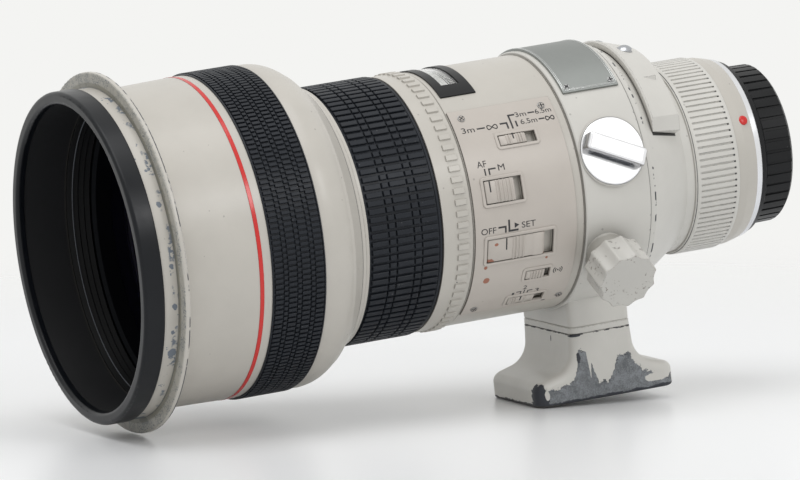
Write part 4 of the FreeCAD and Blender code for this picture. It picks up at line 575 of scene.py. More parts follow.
def foot_paint(tone):
    """Paint of the foot, rubbed down to the casting along its side and black at the sole and the toe, with a
    dark rim round the bare casting that is partly primer and partly painted shadow under the flare.
    """
    finish = Painted("foot_paint", tone.collar, scratches=0.5, grain=1100.0, black_inside=False)
    x, y, z = finish.parts(finish.spot())
    along = finish.add("MapRange", {"Value": x, "From Min": -93 * MM, "From Max": -36 * MM}).outputs[0]
    edge = finish.curve(along, [
        (0.0, 0.26), (0.2, 0.30), (0.27, 0.38), (0.3, 0.55), (0.32, 0.88), (0.37, 0.84), (0.4, 0.62),
        (0.39, 0.36), (0.44, 0.28), (0.47, 0.26), (0.52, 0.3), (0.56, 0.5), (0.58, 0.64), (0.66, 0.7),
        (0.7, 0.5), (0.75, 0.36), (0.8, 0.3), (0.86, 0.18), (1.0, 0.16),
    ])
    border_top = -57.0
    border = finish.plus(SOLE_LEVEL * MM, finish.times(edge, (border_top - SOLE_LEVEL) * MM))
    ragged = finish.times(finish.minus(finish.noise(520.0, 6.0, 0.72), 0.5), 7.0 * MM)
    depth = finish.plus(finish.minus(border, z), ragged)
    bare = finish.times(finish.step(depth, 0.0, 0.12 * MM), finish.step(y, -18.6 * MM, -19.4 * MM))
    grain = finish.plus(finish.times(finish.noise(2600.0, 3.0, 0.7), 0.55),
                        finish.times(finish.noise(240.0, 4.0, 0.6), 0.45))
    grey = finish.mix(finish.step(grain, 0.38, 0.62), opaque(srgb(92, 95, 98)), opaque(tone.bare_metal))
    finish.base = finish.mix(bare, finish.base, grey)
    finish.bare = bare
    # The dark rim round the bare casting is partly primer and partly painted shadow under the flare.
    rim = finish.times(bare, finish.rest(finish.step(depth, 0.35 * MM, 0.7 * MM)))
    finish.stain(finish.times(rim, finish.grit(420.0, 0.47, 0.53)), tone.primer)
    finish.patch((-45.4, -20.9, -74.2), (4.4, 2.0, 1.5), 500.0, 0.8, tone.collar)
    sole = finish.plus(z, finish.times(finish.minus(finish.noise(380.0, 4.0), 0.5), 2.4 * MM))
    finish.chip(finish.rest(finish.step(sole, -77.3 * MM, -77.1 * MM)), tone.primer)
    for centre, reach, size, ragged, colour in (
            ((-91.2, -19.0, -74.8), (3.4, 4.0, 5.2), 520.0, 1.5, tone.primer),
            ((-88.6, -21.0, -74.0), (0.9, 1.2, 1.9), 700.0, 1.3, tone.collar),
            ((-90.9, -20.2, -74.4), (0.5, 0.8, 1.2), 900.0, 1.3, tone.collar),
            ((-90.2, -20.9, -77.0), (0.8, 0.8, 0.7), 900.0, 1.3, tone.bare_metal),
            ((-76.2, -20.4, -54.6), (3.0, 3.0, 0.45), 700.0, 0.5, tone.primer),
            ((-76.65, -3.5, -57.0), (0.6, 0.45, 1.4), 900.0, 0.5, tone.primer),
            ((-75.0, -20.9, -62.5), (0.8, 0.6, 1.8), 900.0, 1.2, tone.primer)):
        finish.patch(centre, reach, size, ragged, colour)
    groove = finish.inside(z, -54.45 * MM, -53.95 * MM, 0.05 * MM)
    finish.chip(finish.times(groove, finish.grit(260.0, 0.5, 0.53)), tone.primer)
    finish.worn_edges(1.3, 0.42, 520.0, tone.primer)
    finish.done()


def knob_paint(tone):
    """Paint of the lock knob, the collar paint darkened as painted shade, with grey specks on its face and
    brown edges.
    """
    # The collar paint darkened to 0.86 is painted shade on the knob.
    finish = Painted("knob_paint", shade(tone.collar, 0.86), roughness=0.38, dirt=0.1, scratches=0.5,
                     black_inside=False)
    finish.chip(finish.times(finish.grit(520.0, 0.6, 0.63), finish.grit(90.0, 0.48, 0.56), 0.8),
                srgb(126, 122, 116))
    knocks = finish.times(finish.grit(900.0, 0.6, 0.62), finish.grit(130.0, 0.54, 0.6))
    finish.chip(knocks, srgb(126, 118, 110))
    finish.worn_edges(0.45, 0.72, 480.0, srgb(134, 108, 92))
    finish.done()


def collar_paint(tone):
    """Paint of the collar, worn at its rear edge, with painted shade round the knob's boss and under the
    barrel.
    """
    # corner reaches 14 mm here, so the painted shade in corners spreads over the pedestal under the barrel.
    finish = Painted("collar_paint", tone.collar, corner=14.0 * MM)
    finish.chip(finish.times(finish.band(-52.6, -52.0), finish.grit(240.0, 0.62, 0.64)), tone.primer)
    # Painted shade: darker round the knob's boss, for the shadow of the knob's skirt on the collar.
    boss = finish.effect("Patch", size=300.0, ragged=0.15, reach=metres((8.6, 8.6, 8.6)),
                         centre=metres(polar(KNOB_STATION, KNOB_TURN, 51.5)))
    finish.stain(boss["Inside"], srgb(158, 155, 148), 0.8)
    finish.done()


def switch_plastics(tone):
    """Plastic of the thumbs, the preset thumb with brown knocks."""
    for name in ("thumb_plastic", "preset_plastic"):
        finish = Painted(name, tone.panel, roughness=0.36, dirt=0.1, black_inside=False)
        if name == "thumb_plastic":
            finish.worn_edges(0.25, 0.2, 900.0, tone.rust)
        else:
            for station, angle, reach in ((-112.9, 73.6, 0.8), (-115.3, 65.9, 1.5), (-96.9, 66.0, 0.6),
                                          (-93.9, 66.0, 0.6), (-94.1, 76.0, 0.4)):
                finish.patch(polar(station, angle, PANEL_RADIUS + 0.5), (reach, reach * 0.7, reach * 0.7),
                             1300.0, 0.9, tone.rust)
        finish.done()


def plain_paints(tone):
    """Paints that have no marks at set places."""
    Painted("cream_paint", tone.cream).done()
    Painted("red_paint", tone.red, roughness=0.2, dirt=0.02, scratches=0.1, black_inside=False).done()
    holder = Painted("holder_paint", tone.collar, roughness=0.38, grain=900.0, peel=1.0, black_inside=False)
    holder.worn_edges(0.4, 0.3, 700.0, tone.primer)
    holder.done()


def dark_finishes(tone):
    rubber("rim_rubber", shade(tone.rubber, 0.8), roughness=0.3, dust=0.01, soften=0.5)
    rubber("grip_rubber", shade(tone.rubber, 2.0), roughness=0.4)
    rubber("black_plastic", tone.black, roughness=0.34, dust=0.02, soften=0.25)
    rubber("light_trap_black", srgb(9, 10, 11), dust=0.01)
    rubber("window_black", srgb(17, 18, 20), roughness=0.34, dust=0.01, soften=0.3)
    ink("mark_ink", *tone.ink)
    # Flat colour of the joint rings, which are painted shade for the shadow deep in the joints.
    ink("joint_shade_ink", *srgb(58, 56, 53))
    ink("window_grey", *srgb(206, 207, 204))
    # Grey of the ring at the front mouth, a painted highlight on its edge.
    ink("mouth_highlight_ring", *srgb(74, 77, 82))
    ink("scale_white", *srgb(222, 222, 218))


def metals():
    metal("inner_black", srgb(22, 23, 25), 0.5, pitch=0.5)
    metal("chrome", srgb(232, 233, 236), 0.2, soften=0.3)
    # The strap lugs get painted shade under and beside their bars, through corner and face.
    metal("lug_chrome", srgb(250, 250, 252), 0.18, soften=0.3, corner=2.5, face=LUG_TURNS["left"])
    metal("button_chrome", srgb(182, 184, 188), 0.24, soften=0.3)
    metal("knurled_steel", srgb(150, 154, 160), 0.3, soften=0.05)
    metal("steel", srgb(190, 190, 190), 0.3, pitch=0.3)
    metal("frosted_plate", srgb(150, 153, 151), 0.46, scuffs=0.3)
    metal("plate_bead", srgb(206, 208, 207), 0.2, scuffs=0.1, soften=0.05)
    metal("gold_contact", srgb(222, 184, 104), 0.2)


def glasses():
    """Coated glass of the lens groups, and the clear pane of the distance window."""
    groups = Finish("coated_glass", IOR=1.52, Coat_Weight=1.0, Coat_Tint=opaque(srgb(190, 170, 235)))
    dust = groups.effect("Specks", scale=700.0, share=0.03, radius=0.2)["Marks"]
    groups.set("Base Color", groups.mix(dust, opaque(srgb(9, 11, 17)), opaque(srgb(90, 92, 96))))
    groups.set("Roughness", groups.fit(dust, 0.04, 0.5))
    pane = Finish("window_pane", IOR=1.5, Transmission_Weight=1.0)
    smear = pane.step(pane.noise(260.0, 4.0, 0.6), 0.55, 0.75)
    pane.set("Base Color", pane.mix(smear, opaque(srgb(252, 252, 252)), opaque(srgb(236, 236, 234))))
    pane.set("Roughness", pane.fit(smear, 0.02, 0.12))


PAINTS = (plain_paints, shoulder_paint, flange_paint, panel_paint, playback_paint, rear_paint, ribbed_paint,
          collar_paint, foot_paint, knob_paint, switch_plastics)

SURFACES = {
    "cream_paint": "front_barrel main_barrel mount_cover_ring focus_ring_sleeve",
    "shoulder_paint": "shoulder_casing",
    "playback_paint": "playback_ring",
    "flange_paint": "hood_flange_ring",
    "panel_paint": "switch_panel",
    "rear_paint": "rear_barrel",
    "ribbed_paint": "ribbed_rear_ring",
    "collar_paint": "collar_ring",
    "holder_paint": "filter_holder",
    "foot_paint": "tripod_foot",
    "knob_paint": "lock_knob",
    "red_paint": "red_stripe_ring index_dot",
    "thumb_plastic": "limiter_slider focus_mode_slider preset_slider sound_slider speed_slider",
    "rim_rubber": "front_rubber_ring",
    "grip_rubber": "front_grip_rubber focus_ring_rubber",
    "black_plastic": "rear_cap contact_block circuit_board distance_scale",
    "window_black": "window_frame",
    "inner_black": "front_retaining_ring main_tube rear_lens_cell focus_cell iris_housing filter_ring",
    "light_trap_black": "front_light_trap",
    "chrome": "bayonet_mount",
    "lug_chrome": "strap_lug_left strap_lug_right",
    "button_chrome": "filter_button_left filter_button_right",
    "steel": "panel_screws plate_screws foot_screws mount_screws motor_stator motor_rotor",
    "frosted_plate": "name_plate",
    "gold_contact": "contact_pins",
    "coated_glass": "front_glass second_glass rear_glass focus_glass filter_glass",
    "window_pane": "window_glass",
}


def dress(piece, finish):
    piece.data.materials.clear()
    piece.data.materials.append(bpy.data.materials[bpy.context.scene["finish_" + finish]])


class Shape:
    """Points in mm and faces, gathered for one mesh."""

    def __init__(self):
        self.points = []
        self.faces = []

    def loft(self, rings, caps=True, loop=False):
        """Joins rings of the same number of points, one after the other, and round where they loop."""
        start, count = len(self.points), len(rings[0])
        for ring in rings:
            self.points.extend(ring)
        for level in range(len(rings) if loop else len(rings) - 1):
            here = start + level * count
            there = start + (level + 1) % len(rings) * count
            for i in range(count):
                j = (i + 1) % count
                self.faces.append((here + i, here + j, there + j, there + i))
        if caps:
            last = len(self.points) - count
            self.faces.append(tuple(reversed(range(start, start + count))))
            self.faces.append(tuple(range(last, last + count)))

    def turn(self, profile, count=256):
        """Revolves closed (station, radius) corners about the axis."""
        rings = [[polar(station, 360.0 * i / count, radius) for station, radius in profile]
                 for i in range(count)]
        self.loft(rings, caps=False, loop=True)

    def make(self, name, finish, smooth_angle=35):
        """The mesh as an object with its finish."""
        mesh = bpy.data.meshes.new(name)
        mesh.from_pydata([metres(point) for point in self.points], [], self.faces)
        mesh.validate()
        mesh.update()
        mesh.polygons.foreach_set("use_smooth", [True] * len(mesh.polygons))
        mesh.set_sharp_from_angle(angle=radians(smooth_angle))
        thing = bpy.data.objects.new(name, mesh)
        bpy.context.scene.collection.objects.link(thing)
        dress(thing, finish)
        return thing

    def piece(self, name, finish, body, slot, smooth_angle=35):
        """The mesh as a piece that rides on a body, with its finish; the slot is not used."""
        piece = self.make(name, finish, smooth_angle)
        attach(piece, body)
        return piece


class Marks(Shape):
    """Printed lines, curves and characters on a cylinder, in mm and degrees.

    low and high say how deep a mark reaches into the surface and how far it stands out. No straight
    piece of a line is much longer than run, so that lines follow the cylinder.
    """

    low, high, run = -0.03, 0.035, 1.2

    def __init__(self, radius):
        super().__init__()
        self.radius = radius
        self.degree = radians(1.0) * radius

    def dab(self, corners):
        """A thin plate between corners (station, angle)."""
        self.loft([[polar(station, angle, self.radius + out) for station, angle in corners]
                   for out in (self.low, self.high)])

    def arc(self, station, angle, reach, start=0.0, end=360.0, count=10):
        """Places on an arc about a place, from one direction to another in degrees."""
        turns = [radians(start + (end - start) * i / count) for i in range(count + 1)]
        return [(station + reach * cos(turn), angle + reach * sin(turn) / self.degree) for turn in turns]

    def stroke(self, places, width):
        """A line of one width through places (station, angle), in short straight pieces."""
        flat = [(station, angle * self.degree) for station, angle in places]
        for (x0, s0), (x1, s1) in zip(flat, flat[1:]):
            length = hypot(x1 - x0, s1 - s0)
            ux, us = (x1 - x0) / length, (s1 - s0) / length
            reach = width / 2
            parts = max(1, int(length / self.run))
            for part in range(parts):
                start = length * part / parts - (reach if part == 0 else 0.0)
                end = length * (part + 1) / parts + (reach if part == parts - 1 else 0.0)
                self.dab([(x0 + ux * along - us * side, (s0 + us * along + ux * side) / self.degree)
                          for along, side in ((start, -reach), (end, -reach), (end, reach), (start, reach))])

    def letters(self, words, start, end, angle, height, turned=False):
        """Plain characters between two stations, or round the barrel about a station where turned."""
        curve = bpy.data.curves.new("letters", "FONT")
        curve.body = words
        curve.extrude = 0.5
        text = bpy.data.objects.new("letters", curve)
        mesh = bpy.data.meshes.new_from_object(text)
        corners = [tuple(corner.co) for corner in mesh.vertices]
        left, right = min(x for x, y, z in corners), max(x for x, y, z in corners)
        foot, head = min(y for x, y, z in corners), max(y for x, y, z in corners)
        tall = height / (head - foot)
        wide = (end - start) / (right - left)
        first = len(self.points)
        for x, y, z in corners:
            across, up = (x - left) * wide, (y - foot) * tall
            if turned:
                across, up = -up, (x - (right + left) / 2) * tall
            self.points.append(polar(start + across, angle + degrees(up / self.radius),
                                     self.radius + (self.high if z > 0 else self.low)))
        for face in mesh.polygons:
            self.faces.append(tuple(first + i for i in face.vertices))
        bpy.data.meshes.remove(mesh)
        bpy.data.objects.remove(text)
        bpy.data.curves.remove(curve)

    def endless(self, start, end, angle, height, width=0.34, count=28):
        """The lying eight."""
        middle, reach, rise = (start + end) / 2, (end - start) / 2, height / 2 / self.degree
        turns = [2 * pi * i / count for i in range(count + 1)]
        self.stroke([(middle + reach * cos(turn), angle + rise * (1 + sin(2 * turn))) for turn in turns],
                    width)


def grip_ribs(node, lengths, rows, half, stagger, gap, bevel, lips):
    """A rubber sleeve with a lip at both ends and rows of ribs between, all in mm.

    lips gives the base's depth, a lip's width, how far the base reaches down and a lip's two heights.
    """
    (start, _, _), (end, _, top) = box(node)
    depth, edge, below, outer, inner = lips
    base = top - depth
    shape = Shape()
    lip = [(0.0, -below), (0.0, outer), (edge, inner), (edge, 0.0)]
    shape.turn([(start + along, base + rise) for along, rise in lip]
               + [(end - along, base + rise) for along, rise in lip[::-1]])
    unit = (end - start - edge * 2 - gap * (len(lengths) + 1)) / sum(lengths)
    pitch = 360.0 / rows
    inset = degrees(bevel / top)
    for row in range(rows):
        front = start + edge + gap
        for column, length in enumerate(lengths):
            rear = front + length * unit
            angle = (row + stagger * (column % 2)) * pitch
            rings = []
            for grow, radius in ((0.0, base - 0.1), (0.0, top - bevel), (1.0, top)):
                turn = pitch * half - inset * grow
                x0, x1 = front + bevel * grow, rear - bevel * grow
                rings.append([polar(x0, angle - turn, radius), polar(x1, angle - turn, radius),
                              polar(x1, angle + turn, radius), polar(x0, angle + turn, radius)])
            shape.loft(rings)
            front = rear + gap
    return shape


class LENS_OT_effects(bpy.types.Operator):
    """Build the shared node groups"""

    bl_idname = "lens.effects"
    bl_label = "Shared effects"

    def execute(self, context):
        for build in EFFECTS:
            build()
        return {"FINISHED"}


class LENS_OT_finishes(bpy.types.Operator):
    """Make the materials and give every CAD piece its own"""

    bl_idname = "lens.finishes"
    bl_label = "Finishes"

    def execute(self, context):
        for paint in PAINTS:
            paint(colours())
        dark_finishes(colours())
        metals()
        glasses()
        for finish, nodes in SURFACES.items():
            for node in nodes.split():
                dress(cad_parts[node], finish)
        return {"FINISHED"}


class LENS_OT_front_grip(bpy.types.Operator):
    """Rubber grip behind the front barrel, with brick-like ribs"""

    bl_idname = "lens.front_grip"
    bl_label = "Front grip"

    def execute(self, context):
        grips = context.scene.lens_grips
        shape = grip_ribs("front_grip_rubber", [3.7, 1.7] * 3 + [3.7], grips.front_rows, 0.31, 0.5,
                          grips.gap / MM, grips.rib_bevel / MM, (0.75, 0.5, 0.6, 0.3, 0.5))
        piece = shape.piece("front_grip_ribs", "grip_rubber", "barrel", "black_rubber")
        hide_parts("front_grip_rubber")
        return {"FINISHED"}


class LENS_OT_focus_grip(bpy.types.Operator):
    """Rubber grip of the focus ring, with rows of long and short ribs"""

    bl_idname = "lens.focus_grip"
    bl_label = "Focus grip"

    def execute(self, context):
        grips = context.scene.lens_grips
        shape = grip_ribs("focus_ring_rubber", [6.6, 2.6] * 2 + [6.6], grips.focus_rows, 0.33, 0.0,
                          grips.gap * 1.4 / MM, grips.rib_bevel * 1.6 / MM, (0.9, 0.9, 0.4, 0.25, 0.25))
        piece = shape.piece("focus_grip_ribs", "grip_rubber", "focus_ring", "black_rubber")
        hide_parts("focus_ring_rubber")
        return {"FINISHED"}


# Characters of the panel: words, start and end station, angle, height.
PANEL_WORDS = (
    ("3m", -118.3, -113.4, 124.9, 2.2), ("3m", -96.4, -92.2, 128.7, 1.98),
    ("6.5m", -88.6, -82.4, 128.7, 1.98), ("6.5m", -95.4, -89.0, 124.8, 1.98),
    ("AF", -116.7, -113.1, 108.3, 2.3), ("M", -109.0, -106.5, 105.8, 2.2),
    ("OFF", -118.6, -112.8, 78.8, 2.2), ("SET", -102.8, -97.4, 79.2, 2.2),
    ("1", -103.2, -102.3, 41.7, 1.9), ("2", -99.4, -97.9, 45.6, 1.9), ("3", -94.2, -92.7, 42.3, 1.9),
)

# Lines of the panel: width, then their places (station, angle).
PANEL_LINES = (
    (0.54, (-112.2, 126.1), (-109.6, 126.1)),
    (0.648, (-103.0, 126.7), (-100.7, 126.7), (-100.7, 124.2)),
    (0.648, (-99.0, 123.9), (-99.0, 130.2), (-96.9, 130.2)),
    (0.648, (-97.1, 126.6), (-97.1, 124.5)),
    (0.54, (-91.2, 129.9), (-89.2, 129.9)),
    (0.54, (-88.0, 126.0), (-86.3, 126.0)),
    (0.54, (-114.2, 107.2), (-114.2, 104.9)),
    (0.54, (-112.6, 104.9), (-112.6, 107.1), (-110.2, 107.1)),
    (0.648, (-111.6, 81.0), (-109.1, 81.0), (-109.1, 78.7)),
    (0.702, (-107.7, 83.4), (-107.7, 78.8), (-104.5, 78.8)),
    (0.42, (-101.4, 44.2), (-99.8, 44.2), (-99.8, 42.3)),
    (0.42, (-98.5, 44.8), (-98.5, 42.3)),
    (0.42, (-97.1, 42.3), (-97.1, 44.2), (-95.5, 44.2)),
)


class LENS_OT_panel_marks(bpy.types.Operator):
    """Marks beside the switches of the panel"""

    bl_idname = "lens.panel_marks"
    bl_label = "Panel marks"

    def execute(self, context):
        marks = Marks(PANEL_RADIUS)
        for word in PANEL_WORDS:
            marks.letters(*word)
        for width, *places in PANEL_LINES:
            marks.stroke(places, width)
        marks.endless(-108.5, -104.6, 124.9, 1.65)
        marks.endless(-85.6, -82.4, 124.8, 1.54)
        marks.dab([(-105.6, 79.7), (-103.8, 80.9), (-103.8, 80.95), (-105.6, 82.2)])
        sound = (-87.2, 54.6)
        sweep = 84.0
        marks.dab(marks.arc(*sound, 0.32)[:-1])
        for reach in (0.95, 1.7):
            for start in (-sweep / 2, 180.0 - sweep / 2):
                marks.stroke(marks.arc(*sound, reach, start, start + sweep, 6), 0.3)
        marks.piece("panel_marks", "mark_ink", "barrel", "black_plastic")
        return {"FINISHED"}


# Thumb pieces: angle, half width, ridge stations, index line (station, low angle, high angle), raised block.
THUMBS = {
    "limiter": (118.6, 1.8, (-102.8, -101.7, -98.9, -97.9, -96.9), (-100.3, 118.9, 121.0), None),
    "focus_mode": (97.1, 4.0, (-111.1, -109.9, -108.4, -106.9, -105.6), (-113.7, 97.4, 101.6), None),
    "preset": (70.8, 4.3, (-106.2, -105.0, -103.7, -102.3), (-109.0, 70.8, 75.6), (-98.9, -94.6)),
    "sound": (54.7, 1.8, (-97.9, -96.8, -95.7, -94.6, -93.5), None, None),
    "speed": (38.6, 1.9, (-102.9, -102.0, -101.1, -97.6), (-99.3, 38.6, 40.8), None),
}


class LENS_OT_thumbs(bpy.types.Operator):
    """Thumb pieces of the five slide switches, with fine ridges and index lines"""

    bl_idname = "lens.thumbs"
    bl_label = "Switch thumbs"

    def execute(self, context):
        for name, (angle, half, ridges, index, block) in THUMBS.items():
            (start, _, _), (end, _, _) = box(name + "_slider")
            shape = Shape()
            shape.loft([self.section(station, angle, half, PANEL_RADIUS + height)
                        for station, height in self.profile(start, end, ridges, block)])
            piece = shape.piece(name + "_thumb", "preset_plastic" if name == "preset" else "thumb_plastic",
                                name + "_switch", "cream_plastic", 50)
            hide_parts(name + "_slider")
            if index:
                station, low, high = index
                line = Marks(PANEL_RADIUS + 0.5)
                line.stroke([(station, low), (station, high)], 0.5)
                line.piece(name + "_index_line", "mark_ink", name + "_switch", "black_plastic")
        return {"FINISHED"}

    def profile(self, start, end, ridges, block):
        """Stations with the height of the thumb over the panel there."""
        flat, edge = 0.5, 0.35
        bumps = [(start, flat - edge), (start + edge, flat)]
        for ridge in ridges:
            bumps += [(ridge + shift, flat + rise) for shift, rise in (
                (-0.42, 0.0), (-0.26, 0.26), (-0.1, 0.4), (0.1, 0.4), (0.26, 0.26), (0.42, 0.0))]
        if block:
            front, rear = block
            bumps += [(front, flat), (front + 0.4, flat + 0.3), (front + 0.9, flat + 0.42),
                      (rear - 0.8, flat + 0.42), (rear - 0.3, flat + 0.25), (rear, flat)]
        return bumps + [(end - edge, flat), (end, flat - edge)]

    def section(self, station, angle, half, top):
        """The ring of points round the thumb at a station, with bevelled top edges."""
        bed = PANEL_RADIUS - 1.5
        bevel = 0.3
        side = [(half, bed), (half, top - bevel), (half - bevel * 0.4, top - bevel * 0.3),
                (half - bevel, top)]
        ring = [(-across, radius) for across, radius in side] + [(0.0, top + 0.02)] + side[::-1]
        return [polar(station, angle + degrees(across / PANEL_RADIUS), radius) for across, radius in ring]


class LENS_OT_distance_marks(bpy.types.Operator):
    """Numbers and ticks on the drum under the distance window"""

    bl_idname = "lens.distance_marks"
    bl_label = "Distance marks"

    def execute(self, context):
        marks = Marks(box("distance_scale")[1][2])
        for i in range(130):
            angle = 100.0 + i * 1.6
            marks.stroke([(-110.9, angle), (-109.9, angle)], 0.4)
        for i, words in enumerate(("3", "3.5", "4", "5", "7", "10", "20")):
            marks.letters(words, -111.9, -111.9, 105.0 + i * 28.0, 2.1, turned=True)
        marks.piece("distance_numbers", "scale_white", "distance_drum", "cream_plastic")
        return {"FINISHED"}


class LENS_OT_window_band(bpy.types.Operator):
    """Clear pane of the distance window, with its printed band, line and index ticks"""

    bl_idname = "lens.window_band"
    bl_label = "Window pane and band"

    def execute(self, context):
        (front, _, _), (rear, side, top) = box("window_glass")
        front, rear = front + 0.05, rear - 0.05
        half = degrees(asin(side / top)) - 0.15
        pane = self.arch(half, [(front, 44.55), (front, 45.55), (front + 0.25, 45.8), (rear - 0.25, 45.8),
                                (rear, 45.55), (rear, 44.55)])
        pane = pane.piece("window_pane", "window_pane", "barrel", "coated_glass", 40)
        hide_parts("window_glass")
        for name, first, last, finish in (("window_band", front + 0.1, front + 3.5, "window_grey"),
                                          ("window_line", front + 3.5, front + 3.9, "mark_ink"),
                                          ("window_edge", front + 3.9, front + 4.3, "window_grey"),
                                          ("window_scale", front + 4.3, rear - 0.1, "mark_ink")):
            band = self.arch(half - 0.4, [(first, 44.2), (first, 44.4), (last, 44.4), (last, 44.2)])
            band.piece(name, finish, "barrel", "cream_plastic")
        ticks = Marks(44.4)
        for i in range(-15, 16):
            angle = 180.0 + i * 1.55
            ticks.stroke([(rear - (1.9 if i % 5 else 2.2), angle), (rear - 0.7, angle)], 0.42)
        ticks.piece("window_ticks", "scale_white", "barrel", "cream_plastic")
        return {"FINISHED"}

    def arch(self, half, section):
        """A curved slab over the top, from the (station, radius) corners of its section."""
        shape = Shape()
        count = 28
        shape.loft([[polar(x, 180.0 - half + half * 2 * i / count, radius) for x, radius in section]
                    for i in range(count + 1)])
        return shape


class LENS_OT_plate_border(bpy.types.Operator):
    """Double bead along the edge of the plate on the collar"""

    bl_idname = "lens.plate_border"
    bl_label = "Plate border"

    def execute(self, context):
        (front, _, _), (rear, _, radius) = box("name_plate")
        shape = Shape()
        for inset, bead in ((0.3, 0.16), (0.85, 0.14)):
            self.bead(shape, front + inset, rear - inset, 43.2 - inset * 0.9, radius, bead)
        shape.piece("plate_border", "plate_bead", "tripod_collar", "frosted_plate", 60)
        return {"FINISHED"}

    def bead(self, shape, front, rear, half_turn, radius, size):
        """A closed round bead along the four edges, with the corners rounded off."""
        corner = 1.2
        turn = degrees(corner / radius)
        first, last, wide = front + corner, rear - corner, half_turn - turn
        path = []
        for x, angle, start in ((last, wide, 0), (first, wide, 90), (first, -wide, 180), (last, -wide, 270)):
            for i in range(5):
                way = radians(start + 90.0 * i / 4)
                path.append((x + corner * cos(way), 180.0 + angle + turn * sin(way)))
        dense = []
        for (x0, a0), (x1, a1) in zip(path, path[1:] + path[:1]):
            steps = max(1, int(abs(a1 - a0) / 2.0))
            dense += [(x0 + (x1 - x0) * i / steps, a0 + (a1 - a0) * i / steps) for i in range(steps)]
        degree = radians(1.0) * radius
        rings = []
        for (x0, a0), (x, angle), (x1, a1) in zip(dense[-1:] + dense, dense, dense[1:] + dense[:1]):
            length = hypot(x1 - x0, (a1 - a0) * degree)
            ux, us = (x1 - x0) / length, (a1 - a0) * degree / length
            ring = []
            for j in range(8):
                way = 2 * pi * j / 8
                side = size * cos(way)
                ring.append(polar(x - us * side, angle + ux * side / degree,
                                  radius + size * sin(way) + size * 0.2))
            rings.append(ring)
        shape.loft(rings + rings[:1], caps=False)


class LENS_OT_screw_heads(bpy.types.Operator):
    """Crosses in the screw heads of the panel and the plate"""

    bl_idname = "lens.screw_heads"
    bl_label = "Screw crosses"

    def execute(self, context):
        for node, body, reach, wide in (("panel_screws", "barrel", 0.8, 0.36),
                                        ("plate_screws", "tripod_collar", 0.72, 0.42)):
            places = self.centres(node)
            high = max(radius for station, angle, radius in places)
            heads, crosses = Marks(high), Marks(high + 0.05)
            for index, (station, angle, radius) in enumerate(places):
                if node == "panel_screws":
                    heads.dab(heads.arc(station, angle, 1.04)[:-1])
                    crosses.stroke(heads.arc(station, angle, 1.08, count=24), 0.09)
                for turn in (40.0 + index * 25.0, 130.0 + index * 25.0):
                    crosses.stroke(heads.arc(station, angle, reach, turn + 180.0, turn, 1), wide)
            if heads.points:
                heads.piece("panel_screw_heads", "thumb_plastic", body, "black_metal")
            crosses.piece(node[:-1] + "_crosses", "mark_ink", body, "black_metal")
        return {"FINISHED"}

    def centres(self, node):
        """Station, angle and radius of each screw's head, found from the loose parts of the node's mesh."""
        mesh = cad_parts[node].data
        owner = list(range(len(mesh.vertices)))

        def root(i):
            while owner[i] != i:
                owner[i] = owner[owner[i]]
                i = owner[i]
            return i

        for edge in mesh.edges:
            owner[root(edge.vertices[0])] = root(edge.vertices[1])
        parts = {}
        for i, corner in enumerate(mesh.vertices):
            parts.setdefault(root(i), []).append(corner.co)
        merged = []
        for corners in parts.values():
            high = max(co.yz.length for co in corners)
            near = [co for co in corners if co.yz.length > high - 0.2 * MM]
            middle = sum(near, Vector()) / len(near)
            if all((middle - other).length > 3 * MM for other in merged):
                merged.append(middle)
        merged.sort(key=lambda spot: (round(spot.x, 4), spot.y))
        return [(spot.x / MM, degrees(atan2(-spot.y, -spot.z)) % 360, spot.yz.length / MM)
                for spot in merged]


# Turned pieces in the joints: finish, slot, and the (station, radius) corners of each ring.
JOINTS = {
    # Dark rings deep in the joints: painted shade for the shadow there.
    "joint_seals": ("joint_shade_ink", "black_rubber", [
        [(start, radius - 0.35), (start, radius - 0.05), (start + 0.05, radius), (end - 0.05, radius),
         (end, radius - 0.05), (end, radius - 0.35)]
        for start, end, radius in ((-133.15, -132.95, 45.75), (-121.68, -121.42, 45.5),
                                   (-77.78, -77.52, 45.5), (-51.97, -51.8, 46.35))]),
    "joint_lips": ("cream_paint", "cream_paint", [
        [(start, 45.0), (start, 45.6), (start + 0.03, 45.65), (end, 45.66), (end, 45.0)]
        for start, end in ((-121.56, -121.41), (-77.79, -77.64))]),
    "ribbed_lip": ("rear_paint", "cream_paint", [
        [(-27.7, 33.2), (-27.7, 34.1), (-27.55, 34.25), (-27.25, 34.25), (-27.25, 33.2)]]),
    # Grey ring at the light trap's mouth: a painted highlight on its edge.
    "mouth_highlight_ring": ("mouth_highlight_ring", "black_plastic", [
        [(-232.25, 53.6), (-232.25, 53.25), (-232.1, 53.1), (-231.85, 53.15), (-231.8, 53.6)]]),
}


class LENS_OT_joint_shade_rings(bpy.types.Operator):
    """Dark rings deep in the joints between the rings as painted shade for the shadow there, thin lips beside
    them, and a grey ring at the front mouth as a painted highlight
    """

    bl_idname = "lens.joint_seals"
    bl_label = "Joint shade rings"

    def execute(self, context):
        for name, (finish, slot, profiles) in JOINTS.items():
            shape = Shape()
            for profile in profiles:
                shape.turn(profile)
            shape.piece(name, finish, "barrel", slot)
        return {"FINISHED"}


